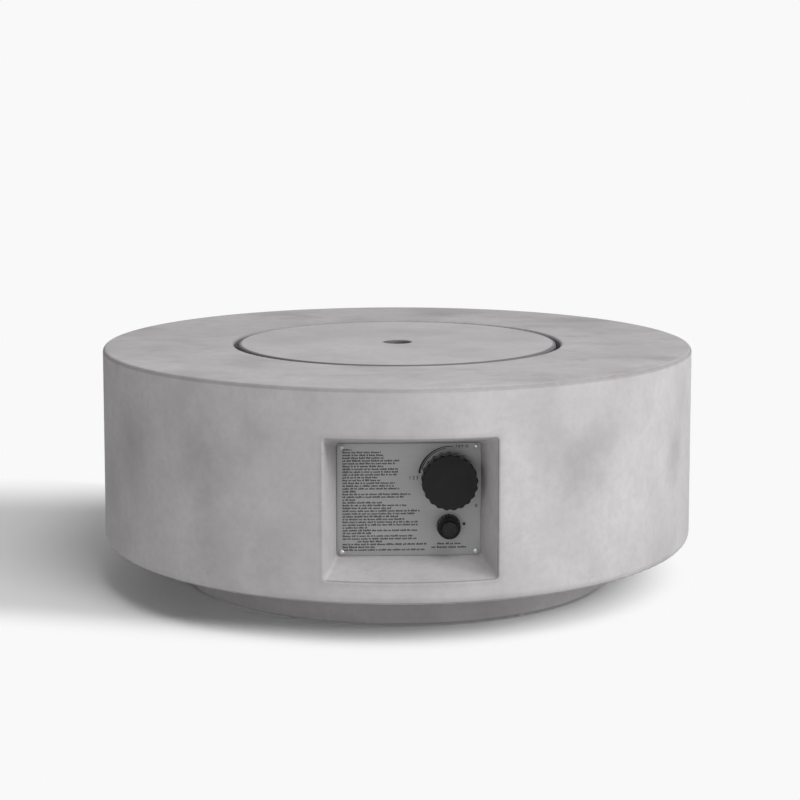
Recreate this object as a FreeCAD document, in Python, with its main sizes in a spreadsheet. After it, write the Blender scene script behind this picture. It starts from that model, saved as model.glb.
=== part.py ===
import FreeCAD, Part
import math
import os
import re
import Sketcher
from FreeCAD import Placement, Rotation, Vector

# Gas fire pit table cast in fibre-reinforced concrete, in millimetres.
# +Z is up, the control niche faces -Y, and the origin is on the floor under the drum's axis.
# Pieces on the control panel are drawn along their own Z axis, which points out of the niche,
# so a height on that axis is a distance from the drum's axis towards the front.

SIZES = {
    # Drum
    "drum_radius": 533.5,
    "table_tall": 420,
    "side_wall": 23,
    "top_wall": 24,
    "top_arris": 6,
    "base_arris": 15,
    "base_ring_thick": 18,
    "base_rebate": 6,
    "base_fit": 0.3,
    # Opening for the burner, its ledge and the collar that stiffens it
    "recess_arris": 4,
    "ledge_wide": 27,
    "rabbet_wide": 17,
    "rabbet_deep": 3.5,
    "collar_wall": 19,
    "collar_deep": 60,
    # Lid
    "lid_radius": 290,
    "lid_gap": 9,
    "lid_thick": 30,
    "lid_arris": 4,
    "lid_rim": 25,
    "lid_hollow": 8,
    "lid_boss_radius": 60,
    "finger_radius": 25,
    "bumper_thick": 2,
    "bumper_radius": 7,
    "bumper_count": 6,
    # Niche
    "niche_deep": 92.5,
    "niche_middle": 225,
    "niche_flare": 21.5,
    "niche_wall": 18,
    "niche_over": 12,
    "mouth_arris": 3.5,
    "window_rim": 20,
    # Control plate
    "plate_wide": 231,
    "plate_high": 183,
    "plate_thick": 2,
    "plate_corner": 5,
    "plate_fit": 1,
    "plate_screw_in": 7.5,
    "plate_screw_down": 5.75,
    "plate_screw_radius": 2,
    "plate_screw_long": 16,
    "plate_head_radius": 4,
    "plate_head_thick": 2.6,
    "thread_fit": 0.1,
    # Plinth, feet and the bolts between plinth and drum
    "plinth_radius": 394,
    "plinth_tall": 69.5,
    "plinth_wall": 25,
    "plinth_flange_thick": 20,
    "plinth_flange_wide": 24,
    "plinth_arris": 3,
    "notch_wide": 44,
    "notch_high": 30,
    "foot_show": 4,
    "foot_pocket": 6,
    "foot_radius": 9,
    "foot_fit": 0.3,
    "foot_count": 6,
    "bolt_count": 6,
    "bolt_radius": 4,
    "bolt_fit": 0.5,
    "bolt_long": 31,
    "bolt_head_thick": 5.3,
    "bolt_head_flats": 13,
    "washer_radius": 8.5,
    "washer_thick": 1.6,
    "insert_radius": 5.5,
    "insert_long": 14,
    # Burner pan
    "pan_flange_gap": 2,
    "pan_gap": 3,
    "pan_deep": 68,
    "pan_sheet": 1.5,
    "drain_circle": 205,
    "drain_radius": 4,
    "drain_count": 6,
    "lead_hole_radius": 12,
    # Burner
    "ring_radius": 150,
    "tube_radius": 9.5,
    "cross_radius": 8,
    "tube_wall": 1.2,
    "burner_rise": 24.5,
    "hub_radius": 15,
    "hub_cap": 3,
    "port_radius": 1.8,
    "port_count": 36,
    "nipple_radius": 10.65,
    "nipple_bore": 8,
    "nipple_fit": 0.2,
    "nipple_up": 20,
    "nipple_down": 32,
    "lock_nut_flats": 32,
    "lock_nut_thick": 8,
    # Air mixer and jet
    "mixer_radius": 15,
    "mixer_long": 64,
    "mixer_throat": 9,
    "mixer_socket": 14,
    "mixer_foot": 12,
    "air_window_wide": 9,
    "air_window_tall": 20,
    "air_window_count": 4,
    "jet_stem_radius": 6.8,
    "jet_stem_long": 14,
    "jet_orifice": 1,
    # Gas fittings with a flared end, and the hose
    "hex_flats": 19,
    "hex_thick": 8,
    "flare_radius": 7.94,
    "flare_long": 14,
    "inlet_long": 16,
    "gas_bore": 4,
    "nut_flats": 20,
    "nut_long": 20.5,
    "nut_fit": 0.3,
    "hose_radius": 6.5,
    # Igniter bracket in the pan
    "bracket_front": 137,
    "bracket_back": 104,
    "bracket_half": 20,
    "bracket_sheet": 1.2,
    "shelf_rise": 17,
    "sense_front": 122,
    "sense_apart": 14,
    "bracket_screw_apart": 31,
    "bracket_screw_front": 109,
    "bracket_screw_radius": 2,
    "bracket_screw_head": 3.5,
    "bracket_screw_head_thick": 2.2,
    "bracket_screw_long": 7,
    "bracket_shelf_half": 14,
    "bracket_shelf_front": 132,
    "ceramic_radius": 3.5,
    "ceramic_long": 24,
    "ceramic_below": 9,
    "ceramic_collar": 5.2,
    "ceramic_collar_thick": 4,
    "rod_radius": 1.2,
    "rod_fit": 0.1,
    "rod_tail": 4,
    "rod_rise": 39.5,
    "rod_bend": 5,
    "rod_reach": 15,
    "probe_radius": 2.5,
    "probe_rise": 38,
    "probe_collar": 4,
    "probe_collar_thick": 5,
    "probe_fit": 0.2,
    "lead_radius": 2,
    "capillary_radius": 1.2,
    # Valve and knob
    "knob_right": 64,
    "knob_high": 259,
    "knob_radius": 45,
    "knob_tall": 30,
    "knob_lift": 7,
    "knob_face": 8,
    "knob_skin": 7,
    "knob_hub": 9,
    "knob_bevel": 1.6,
    "lobe_radius": 5.6,
    "lobe_rise": 2,
    "lobe_count": 21,
    "stem_radius": 4,
    "stem_flat": 2.8,
    "stem_in_knob": 24,
    "stem_fit": 0.05,
    "stem_hole": 7,
    "bonnet_wide": 56,
    "bonnet_high": 30,
    "bonnet_thick": 10,
    "running_fit": 0.1,
    "valve_left": 46,
    "valve_right": 28,
    "valve_high": 36,
    "valve_deep": 36,
    "valve_bevel": 4,
    "valve_cavity_radius": 8,
    "valve_cavity_deep": 26,
    "outlet_left": 34,
    "inlet_right": 18,
    "valve_screw_apart": 42,
    "valve_screw_radius": 2,
    "valve_screw_head": 3.5,
    "valve_screw_head_thick": 2.2,
    "valve_screw_long": 20,
    "plunger_radius": 7.8,
    "plunger_thick": 2,
    "plunger_rod": 1.75,
    "plunger_rod_long": 14,
    "valve_coil_radius": 5.4,
    "valve_wire": 0.6,
    "valve_turns": 6,
    "sense_port_left": 20,
    "sense_nut_flats": 8,
    "sense_nut_long": 8,
    # Igniter
    "igniter_right": 64,
    "igniter_high": 181,
    "collar_show": 20,
    "igniter_collar": 19.25,
    "igniter_taper": 1.5,
    "barrel_radius": 16,
    "barrel_long": 58,
    "barrel_end": 4,
    "panel_fit": 0.4,
    "button_radius": 12.35,
    "button_fit": 0.3,
    "button_show": 30,
    "button_long": 18,
    "button_guide": 4,
    "button_round": 1.2,
    "battery_radius": 7.25,
    "battery_long": 50.5,
    "battery_fit": 0.35,
    "battery_nub_radius": 2.75,
    "battery_nub": 1.5,
    "igniter_nut_radius": 20,
    "igniter_nut_thick": 8,
    "button_coil_radius": 5.2,
    "button_wire": 0.5,
    "button_turns": 4,
    "terminal_wide": 4.8,
    "terminal_thick": 0.8,
    "terminal_long": 9,
    "terminal_apart": 12,
}

# Heights on the table's axis, and radii round it
PLINTH_TOP = "(foot_show + plinth_tall)"
LEDGE = "(table_tall - lid_thick - bumper_thick)"
RECESS_RADIUS = "(lid_radius + lid_gap)"
RABBET_RADIUS = f"({RECESS_RADIUS} - ledge_wide)"
OPENING_RADIUS = f"({RABBET_RADIUS} - rabbet_wide)"
PAN_RADIUS = f"({OPENING_RADIUS} - pan_gap)"
BASE_INNER = "(plinth_radius - plinth_wall - plinth_flange_wide)"
BOLT_CIRCLE = "(plinth_radius - plinth_wall - plinth_flange_wide / 2)"
RABBET = f"({LEDGE} - rabbet_deep)"
PAN_FLOOR = f"({RABBET} + pan_sheet - pan_deep + pan_sheet)"
PAN_UNDER = f"({PAN_FLOOR} - pan_sheet)"
BURNER_AXIS = f"({PAN_FLOOR} + burner_rise)"
NIPPLE_TOP = f"({PAN_FLOOR} + nipple_up)"
NIPPLE_END = f"({PAN_UNDER} - nipple_down)"
MIXER_TOP = f"({NIPPLE_END} + mixer_socket)"
MIXER_END = f"({MIXER_TOP} - mixer_long)"
JET_END = f"({MIXER_END} - hex_thick - flare_long)"
SHELF_TOP = f"({PAN_FLOOR} + shelf_rise + bracket_sheet)"

# Distances out along the control panel's axis
SEAT = "(drum_radius - niche_deep)"
PANEL = f"({SEAT} + plate_thick)"
BONNET_BACK = f"({SEAT} - bonnet_thick)"
VALVE_BACK = f"({BONNET_BACK} - valve_deep)"
KNOB_BACK = f"({PANEL} + knob_lift)"
KNOB_FRONT = f"({KNOB_BACK} + knob_tall)"
BARREL_BACK = f"({PANEL} - barrel_long)"
BATTERY_BACK = f"({BARREL_BACK} + barrel_end)"
BATTERY_FRONT = f"({BATTERY_BACK} + battery_long)"
BUTTON_BACK = f"({PANEL} + button_show - button_long)"
OUTLET_END = "(knob_high - valve_high / 2 - hex_thick - flare_long)"

doc = FreeCAD.newDocument("fire_pit_table")
sheet = doc.addObject("Spreadsheet::Sheet", "sizes")
for row, (alias, number) in enumerate(SIZES.items(), start=1):
    sheet.set(f"A{row}", alias)
    sheet.set(f"B{row}", str(number))
    sheet.setAlias(f"B{row}", alias)
doc.recompute()
reader = doc.addObject("Spreadsheet::Sheet", "reader")

nodes = []


def cells(expression):
    """The expression with each size's name turned into a reference to its cell."""
    return re.sub(r"[a-z]\w*", lambda word: "sizes." + word[0] if word[0] in SIZES else word[0], expression)


def bind(thing, prop, expression):
    thing.setExpression(prop, cells(expression))


def value(expression):
    """The number that an expression of the sizes has now."""
    reader.set("A1", "=" + cells(expression))
    reader.recompute()
    return float(reader.get("A1"))


def new_body(label):
    body = doc.addObject("PartDesign::Body", label)
    body.Label = label
    nodes.append(body)
    return body


def face_panel(body, right, high):
    """Stand a body's own Z axis out of the niche at this place on the control panel."""
    body.Placement = Placement(Vector(), Rotation(Vector(1, 0, 0), 90))
    bind(body, ".Placement.Base.x", right)
    bind(body, ".Placement.Base.z", high)


def new_sketch(body, name, role, offset=None):
    plane = next(item for item in body.Origin.OriginFeatures if item.Role == role)
    sketch = body.newObject("Sketcher::SketchObject", f"{body.Label}_{name}")
    sketch.AttachmentSupport = (plane, [""])
    sketch.MapMode = "FlatFace"
    if offset:
        bind(sketch, ".AttachmentOffset.Base.z", offset)
    return sketch


def pin_point(sketch, index, end, x, y):
    """Hold one end of a sketch line or arc at bound coordinates."""
    for axis, place, line in (("DistanceX", x, -2), ("DistanceY", y, -1)):
        if place == "0":
            sketch.addConstraint(Sketcher.Constraint("PointOnObject", index, end, line))
            continue
        number = sketch.addConstraint(Sketcher.Constraint(axis, index, end, 10.0 + index))
        bind(sketch, f"Constraints[{number}]", place)


def outline(sketch, corners):
    """Closed outline of straight lines through corners with bound coordinates."""
    first = sketch.GeometryCount
    count = len(corners)
    turn = 2 * math.pi / count
    start = [Vector(100 * math.cos(turn * k), 100 * math.sin(turn * k), 0) for k in range(count)]
    sketch.addGeometry([Part.LineSegment(start[k], start[(k + 1) % count]) for k in range(count)])
    sketch.addConstraint([Sketcher.Constraint("Coincident", first + k, 2, first + (k + 1) % count, 1)
                          for k in range(count)])
    for k, (x, y) in enumerate(corners):
        pin_point(sketch, first + k, 1, x, y)


def rectangle(sketch, left, right, low, high):
    outline(sketch, [(left, low), (right, low), (right, high), (left, high)])


def hexagon(sketch, flats, x="0", y="0"):
    """Regular hexagon with this width across its flats, which face left and right."""
    half = f"({flats}) / 2"
    tip = f"({flats}) / sqrt(3)"
    corners = [(half, f"-{tip} / 2"), (half, f"{tip} / 2"), ("0", tip),
               (f"-{half}", f"{tip} / 2"), (f"-{half}", f"-{tip} / 2"), ("0", f"-{tip}")]
    outline(sketch, [(f"{x} + {u}", f"{y} + {v}") for u, v in corners])


def circle(sketch, radius, x="0", y="0"):
    index = sketch.addGeometry(Part.Circle(Vector(10, 10, 0), Vector(0, 0, 1), 5))
    number = sketch.addConstraint(Sketcher.Constraint("Radius", index, 5))
    bind(sketch, f"Constraints[{number}]", radius)
    pin_point(sketch, index, 3, x, y)


def grow(body, kind, sketch, name):
    feature = body.newObject(f"PartDesign::{kind}", f"{body.Label}_{name}")
    feature.Profile = sketch
    return feature


def pad(body, sketch, name, length, symmetric=False):
    """Thicken a sketch along its normal, or half each way."""
    feature = grow(body, "Pad", sketch, name)
    bind(feature, "Length", length)
    if symmetric:
        feature.SideType = "Symmetric"
    return feature


def must_cut(body, feature, before):
    doc.recompute()
    if not feature.Shape.Volume < before - 0.01:
        raise RuntimeError(f"{feature.Name} cuts nothing from {body.Label}")


def pocket(body, sketch, name, length, along_normal=False, symmetric=False):
    """Cut a sketch into the body against its normal, or along it."""
    doc.recompute()
    before = body.Shape.Volume
    feature = grow(body, "Pocket", sketch, name)
    bind(feature, "Length", length)
    feature.Reversed = along_normal
    if symmetric:
        feature.SideType = "Symmetric"
    must_cut(body, feature, before)
    return feature


def revolve(body, sketch, name, kind="Revolution"):
    """Turn a sketch about its own vertical axis, to add or, as a Groove, to cut."""
    doc.recompute()
    before = body.Shape.Volume if kind == "Groove" else None
    feature = grow(body, kind, sketch, name)
    feature.ReferenceAxis = (sketch, ["V_Axis"])
    feature.Angle = 360
    if before:
        must_cut(body, feature, before)
    return feature


def polar(body, features, name, count):
    """Repeat features round the body's own Z axis."""
    doc.recompute()
    axis = next(item for item in body.Origin.OriginFeatures if item.Role == "Z_Axis")
    pattern = body.newObject("PartDesign::PolarPattern", f"{body.Label}_{name}")
    pattern.Originals = features
    pattern.Axis = (axis, [""])
    pattern.Angle = 360
    bind(pattern, "Occurrences", count)
    body.Tip = pattern
    doc.recompute()
    return pattern


def fillet(body, name, radius, chosen):
    """Round the edges of the body's last feature that the test picks."""
    doc.recompute()
    base = body.Tip
    edges = [f"Edge{k}" for k, edge in enumerate(base.Shape.Edges, start=1) if chosen(edge)]
    if not edges:
        raise RuntimeError(f"{name} finds no edge on {body.Label}")
    feature = body.newObject("PartDesign::Fillet", f"{body.Label}_{name}")
    feature.Base = (base, edges)
    bind(feature, "Radius", radius)
    doc.recompute()
    return feature


def ring_at(radius, height):
    """A test for the circle of this radius round the own Z axis at this height."""
    wanted_radius = value(radius)
    wanted_height = value(height)

    def test(edge):
        if not isinstance(edge.Curve, Part.Circle):
            return False
        middle = edge.Curve.Center
        on_axis = math.hypot(middle.x, middle.y) < 0.01
        same_radius = abs(edge.Curve.Radius - wanted_radius) < 0.01
        return on_axis and same_radius and abs(middle.z - wanted_height) < 0.01

    return test


def turned(label, corners):
    """A body that is one profile of (radius, height) corners turned about its Z axis."""
    body = new_body(label)
    sketch = new_sketch(body, "profile", "XZ_Plane")
    outline(sketch, corners)
    revolve(body, sketch, "turned")
    return body


def feature_of(label, shape):
    """A sub-part whose shape is worked out from the sizes with shape functions."""
    thing = doc.addObject("Part::Feature", label)
    thing.Label = label
    thing.Shape = shape
    nodes.append(thing)
    return thing


# Concrete drum, open below: the revolved wall with the rebate for the base ring, the top, the
# collar, lid ledge and pan rabbet, then the box of the niche, trimmed to the drum's face, and
# the splayed niche cut into it.
def make_shell():
    ring_top = f"({PLINTH_TOP} + base_ring_thick)"
    cavity = "drum_radius - side_wall"
    collar = f"{RECESS_RADIUS} + collar_wall"
    shell = turned("concrete_shell", [
        (f"{cavity} + base_rebate", PLINTH_TOP),
        ("drum_radius", PLINTH_TOP),
        ("drum_radius", "table_tall"),
        (RECESS_RADIUS, "table_tall"),
        (RECESS_RADIUS, LEDGE),
        (RABBET_RADIUS, LEDGE),
        (RABBET_RADIUS, RABBET),
        (OPENING_RADIUS, RABBET),
        (OPENING_RADIUS, "table_tall - collar_deep"),
        (collar, "table_tall - collar_deep"),
        (collar, "table_tall - top_wall"),
        (cavity, "table_tall - top_wall"),
        (cavity, ring_top),
        (f"{cavity} + base_rebate", ring_top),
    ])
    half_wide = "(plate_wide / 2 + plate_fit)"
    half_high = "(plate_high / 2 + plate_fit)"
    reach = "(niche_deep + niche_over)"
    mouth = f"({half_wide} + niche_flare)"
    edge_depth = f"(sqrt(drum_radius^2 - {mouth}^2) - {SEAT})"

    # The box round the niche, one wall thicker than the niche on every side.
    back = new_sketch(shell, "box_back", "XZ_Plane", f"{SEAT} - niche_wall")
    rectangle(back, f"-{half_wide} - niche_wall", f"{half_wide} + niche_wall",
              f"niche_middle - {half_high} - niche_wall", f"niche_middle + {half_high} + niche_wall")
    grown = f"(niche_flare * ({reach} + niche_wall) / niche_deep + niche_wall)"
    front = new_sketch(shell, "box_front", "XZ_Plane", f"{SEAT} + {reach}")
    rectangle(front, f"-{half_wide} - {grown}", f"{half_wide} + {grown}",
              f"niche_middle - {half_high} - {grown}", f"niche_middle + {half_high} + {grown}")
    box = shell.newObject("PartDesign::AdditiveLoft", "niche_box")
    box.Profile = back
    box.Sections = [front]
    box.Ruled = True
    trim = new_sketch(shell, "trim", "XZ_Plane")
    rectangle(trim, "drum_radius", "drum_radius + 2 * side_wall + niche_over",
              PLINTH_TOP, "table_tall")
    revolve(shell, trim, "face_trimmed", "Groove")

    # The niche: four ruled walls. Its outer outline bows so that the mouth's upper and lower
    # edges stay level all the way round the drum's face.
    seat = new_sketch(shell, "niche_seat", "XZ_Plane", SEAT)
    rectangle(seat, f"-{half_wide}", half_wide,
              f"niche_middle - {half_high}", f"niche_middle + {half_high}")
    side = f"({half_wide} + niche_flare * {reach} / {edge_depth})"
    rise_middle = f"({half_high} + niche_flare * {reach} / niche_deep)"
    rise_edge = f"({half_high} + niche_flare * {reach} / {edge_depth})"
    outer = new_sketch(shell, "niche_mouth", "XZ_Plane", f"{SEAT} + {reach}")
    bowed_rectangle(outer, side, "niche_middle", rise_middle, rise_edge)
    doc.recompute()
    before = shell.Shape.Volume
    niche = shell.newObject("PartDesign::SubtractiveLoft", "niche")
    niche.Profile = seat
    niche.Sections = [outer]
    niche.Ruled = True
    must_cut(shell, niche, before)
    back_corner = (value(half_wide), value(half_high), value(SEAT), value("niche_middle"))

    def into_niche(edge):
        ends = [vertex.Point for vertex in edge.Vertexes]
        at_back = any(math.dist((abs(end.x), -end.y, abs(end.z - back_corner[3])),
                                (back_corner[0], back_corner[2], back_corner[1])) < 0.01 for end in ends)
        return at_back and len(ends) == 2 and abs(ends[0].y - ends[1].y) > 1

    fillet(shell, "niche_corners", "plate_corner + plate_fit", into_niche)

    window = new_sketch(shell, "window", "XZ_Plane", SEAT)
    rectangle(window, "-plate_wide / 2 + window_rim", "plate_wide / 2 - window_rim",
              "niche_middle - plate_high / 2 + window_rim", "niche_middle + plate_high / 2 - window_rim")
    pocket(shell, window, "window_cut", "niche_wall + 1")
    pilots = new_sketch(shell, "pilots", "XZ_Plane", SEAT)
    plate_corners(pilots, "plate_screw_radius + thread_fit", "niche_middle")
    pocket(shell, pilots, "pilot_holes", "plate_screw_long - plate_thick + thread_fit")

    fillet(shell, "top_rounded", "top_arris", ring_at("drum_radius", "table_tall"))
    fillet(shell, "base_rounded", "base_arris", ring_at("drum_radius", PLINTH_TOP))
    fillet(shell, "recess_rounded", "recess_arris", ring_at(RECESS_RADIUS, "table_tall"))
    radius = value("drum_radius")
    levels = [value(f"niche_middle {sign} ({half_high} + niche_flare)") for sign in "-+"]

    def on_mouth(edge):
        places = edge.discretize(5)
        on_face = all(abs(math.hypot(place.x, place.y) - radius) < 0.05 for place in places)
        return on_face and all(levels[0] - 3 < place.z < levels[1] + 3 for place in places)

    fillet(shell, "mouth_rounded", "mouth_arris", on_mouth)


def bowed_rectangle(sketch, side, middle, rise_middle, rise_edge):
    """Upright sides, with the top and bottom bowed inwards as arcs through the centre line."""
    low, high = f"{middle} - {rise_edge}", f"{middle} + {rise_edge}"
    corners = [(f"-{side}", low), (side, low), (side, high), (f"-{side}", high)]
    start = [Vector(value(x), value(y), 0) for x, y in corners]
    crests = [f"{middle} - {rise_middle}", f"{middle} + {rise_middle}"]
    arcs = [Part.Arc(start[1], Vector(0, value(crests[0]), 0), start[0]),
            Part.Arc(start[3], Vector(0, value(crests[1]), 0), start[2])]
    sides = [Part.LineSegment(start[1], start[2]), Part.LineSegment(start[3], start[0])]
    sketch.addGeometry(arcs + sides)
    joints = [(0, 1, 2, 1), (2, 2, 1, 2), (1, 1, 3, 1), (3, 2, 0, 2)]
    sketch.addConstraint([Sketcher.Constraint("Coincident", *joint) for joint in joints])
    for index, end, corner in ((2, 1, 1), (2, 2, 2), (3, 1, 3), (3, 2, 0)):
        pin_point(sketch, index, end, *corners[corner])
    for arc, crest in enumerate(crests):
        point = sketch.addGeometry(Part.Point(Vector(0, value(crest), 0)), True)
        sketch.addConstraint(Sketcher.Constraint("PointOnObject", point, 1, arc))
        pin_point(sketch, point, 1, "0", crest)


def plate_corners(sketch, radius, middle):
    """Four circles where the control plate's screws go."""
    for side in ("-", ""):
        for rise in ("-", "+"):
            circle(sketch, radius, f"{side}(plate_wide / 2 - plate_screw_in)",
                   f"{middle} {rise} (plate_high / 2 - plate_screw_down)")


# Flat base ring, bonded into the drum's rebate, with the holes for the bolts' brass inserts.
def make_base():
    base = turned("base_ring", [
        (BASE_INNER, PLINTH_TOP),
        ("drum_radius - side_wall + base_rebate - base_fit", PLINTH_TOP),
        ("drum_radius - side_wall + base_rebate - base_fit", f"{PLINTH_TOP} + base_ring_thick"),
        (BASE_INNER, f"{PLINTH_TOP} + base_ring_thick"),
    ])
    inserts = new_sketch(base, "insert", "XY_Plane", PLINTH_TOP)
    circle(inserts, "insert_radius + thread_fit", BOLT_CIRCLE)
    hole = pocket(base, inserts, "insert_hole", "base_ring_thick", along_normal=True)
    polar(base, [hole], "insert_holes", "bolt_count")


# Plinth ring with its inward flange, six foot pockets, six bolt holes and the hose notch.
def make_plinth():
    inner = "plinth_radius - plinth_wall"
    plinth = turned("plinth_ring", [
        (inner, "foot_show"),
        ("plinth_radius", "foot_show"),
        ("plinth_radius", PLINTH_TOP),
        (BASE_INNER, PLINTH_TOP),
        (BASE_INNER, f"{PLINTH_TOP} - plinth_flange_thick"),
        (inner, f"{PLINTH_TOP} - plinth_flange_thick"),
    ])
    fillet(plinth, "base_rounded", "plinth_arris", ring_at("plinth_radius", "foot_show"))
    pockets = new_sketch(plinth, "foot", "XY_Plane", "foot_show")
    circle(pockets, "foot_radius + foot_fit", "plinth_radius - plinth_wall / 2")
    foot = pocket(plinth, pockets, "foot_pocket", "foot_pocket", along_normal=True)
    polar(plinth, [foot], "foot_pockets", "foot_count")
    holes = new_sketch(plinth, "bolt", "XY_Plane", PLINTH_TOP)
    circle(holes, "bolt_radius + bolt_fit", BOLT_CIRCLE)
    hole = pocket(plinth, holes, "bolt_hole", "plinth_flange_thick")
    polar(plinth, [hole], "bolt_holes", "bolt_count")
    notch = new_sketch(plinth, "notch", "XZ_Plane", "-plinth_radius - 1")
    rectangle(notch, "-notch_wide / 2", "notch_wide / 2", "foot_show - 1", "foot_show + notch_high")
    pocket(plinth, notch, "hose_notch", "plinth_wall + 4", along_normal=True)


def round_group(label, low, long, radius, distance, count, bore=None):
    """Equal round pieces, or rings, standing in a circle round the table's axis."""
    group = new_body(label)
    sketch = new_sketch(group, "section", "XY_Plane", low)
    circle(sketch, radius, distance)
    if bore:
        circle(sketch, bore, distance)
    piece = pad(group, sketch, "piece", long)
    polar(group, [piece], "pieces", count)


# Rubber feet pushed into the plinth, and the bolts, washers and brass inserts that hold the
# drum on the plinth.
def make_fixings():
    round_group("rubber_feet", "0", "foot_show + foot_pocket", "foot_radius",
                "plinth_radius - plinth_wall / 2", "foot_count")
    loose = "bolt_radius + thread_fit"
    round_group("threaded_inserts", PLINTH_TOP, "insert_long", "insert_radius",
                BOLT_CIRCLE, "bolt_count", loose)
    under = f"({PLINTH_TOP} - plinth_flange_thick - washer_thick)"
    round_group("plinth_washers", under, "washer_thick", "washer_radius",
                BOLT_CIRCLE, "bolt_count", loose)
    bolts = new_body("plinth_bolts")
    head = new_sketch(bolts, "head", "XY_Plane", f"{under} - bolt_head_thick")
    hexagon(head, "bolt_head_flats", BOLT_CIRCLE)
    heads = pad(bolts, head, "heads", "bolt_head_thick")
    shank = new_sketch(bolts, "shank", "XY_Plane", under)
    circle(shank, "bolt_radius", BOLT_CIRCLE)
    shanks = pad(bolts, shank, "shanks", "bolt_long")
    polar(bolts, [heads, shanks], "bolts", "bolt_count")


# Lid: a cast disc, thinner between its rim and the boss round its finger hole, on rubber bumpers.
def make_lid():
    low = f"({LEDGE} + bumper_thick)"
    inner_rim = "lid_radius - lid_rim"
    lid = turned("lid", [
        ("finger_radius", low),
        ("lid_boss_radius", low),
        ("lid_boss_radius", f"{low} + lid_hollow"),
        (inner_rim, f"{low} + lid_hollow"),
        (inner_rim, low),
        ("lid_radius", low),
        ("lid_radius", f"{low} + lid_thick"),
        ("finger_radius", f"{low} + lid_thick"),
    ])
    fillet(lid, "edge_rounded", "lid_arris", ring_at("lid_radius", "table_tall"))
    fillet(lid, "hole_rounded", "lid_arris", ring_at("finger_radius", "table_tall"))
    round_group("lid_bumpers", LEDGE, "bumper_thick", "bumper_radius",
                f"({RABBET_RADIUS} + lid_radius) / 2", "bumper_count")


# Burner pan: pressed sheet with a flange in the rabbet, drain holes, the hole for the nipple,
# and the hole and screw holes under the igniter bracket.
def make_pan():
    rim = f"{RABBET_RADIUS} - pan_flange_gap"
    pan = turned("burner_pan", [
        ("0", PAN_UNDER),
        (PAN_RADIUS, PAN_UNDER),
        (PAN_RADIUS, RABBET),
        (rim, RABBET),
        (rim, f"{RABBET} + pan_sheet"),
        (f"{PAN_RADIUS} - pan_sheet", f"{RABBET} + pan_sheet"),
        (f"{PAN_RADIUS} - pan_sheet", PAN_FLOOR),
        ("0", PAN_FLOOR),
    ])
    holes = new_sketch(pan, "holes", "XY_Plane", PAN_FLOOR)
    circle(holes, "nipple_radius + nipple_fit")
    circle(holes, "lead_hole_radius", "0", "-sense_front")
    bracket_screw_circles(holes, "bracket_screw_radius + thread_fit")
    pocket(pan, holes, "holes_cut", "pan_sheet")
    drain = new_sketch(pan, "drain", "XY_Plane", PAN_FLOOR)
    circle(drain, "drain_radius", "drain_circle")
    polar(pan, [pocket(pan, drain, "drain_hole", "pan_sheet")], "drain_holes", "drain_count")


def bracket_screw_circles(sketch, radius):
    for side in ("-", ""):
        circle(sketch, radius, f"{side}bracket_screw_apart / 2", "-bracket_screw_front")


# Ring burner: a tube bent to a ring with a cross tube and a hub, hollow throughout, and gas
# ports drilled down into the top of the ring.
def make_burner():
    burner = new_body("burner_ring")
    ring = new_sketch(burner, "ring", "XZ_Plane")
    circle(ring, "tube_radius", "ring_radius", BURNER_AXIS)
    revolve(burner, ring, "ring_tube")
    cross = new_sketch(burner, "cross", "YZ_Plane")
    circle(cross, "cross_radius", "0", BURNER_AXIS)
    pad(burner, cross, "cross_tube", "2 * ring_radius", symmetric=True)
    hub = new_sketch(burner, "hub", "XY_Plane", PAN_FLOOR)
    circle(hub, "hub_radius")
    pad(burner, hub, "hub_socket", "burner_rise + hub_cap")
    bore = new_sketch(burner, "ring_bore", "XZ_Plane")
    circle(bore, "tube_radius - tube_wall", "ring_radius", BURNER_AXIS)
    revolve(burner, bore, "ring_hollow", "Groove")
    cross_bore = new_sketch(burner, "cross_bore", "YZ_Plane")
    circle(cross_bore, "cross_radius - tube_wall", "0", BURNER_AXIS)
    pocket(burner, cross_bore, "cross_hollow", "2 * ring_radius", symmetric=True)
    hub_bore = new_sketch(burner, "hub_bore", "XY_Plane", PAN_FLOOR)
    circle(hub_bore, "nipple_radius + nipple_fit")
    pocket(burner, hub_bore, "hub_hollow", "burner_rise", along_normal=True)
    port = new_sketch(burner, "port", "XY_Plane", BURNER_AXIS)
    circle(port, "port_radius", "ring_radius * cos(180 / port_count)", "ring_radius * sin(180 / port_count)")
    polar(burner, [pocket(burner, port, "port_cut", "tube_radius + 1", along_normal=True)],
          "ports", "port_count")


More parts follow.
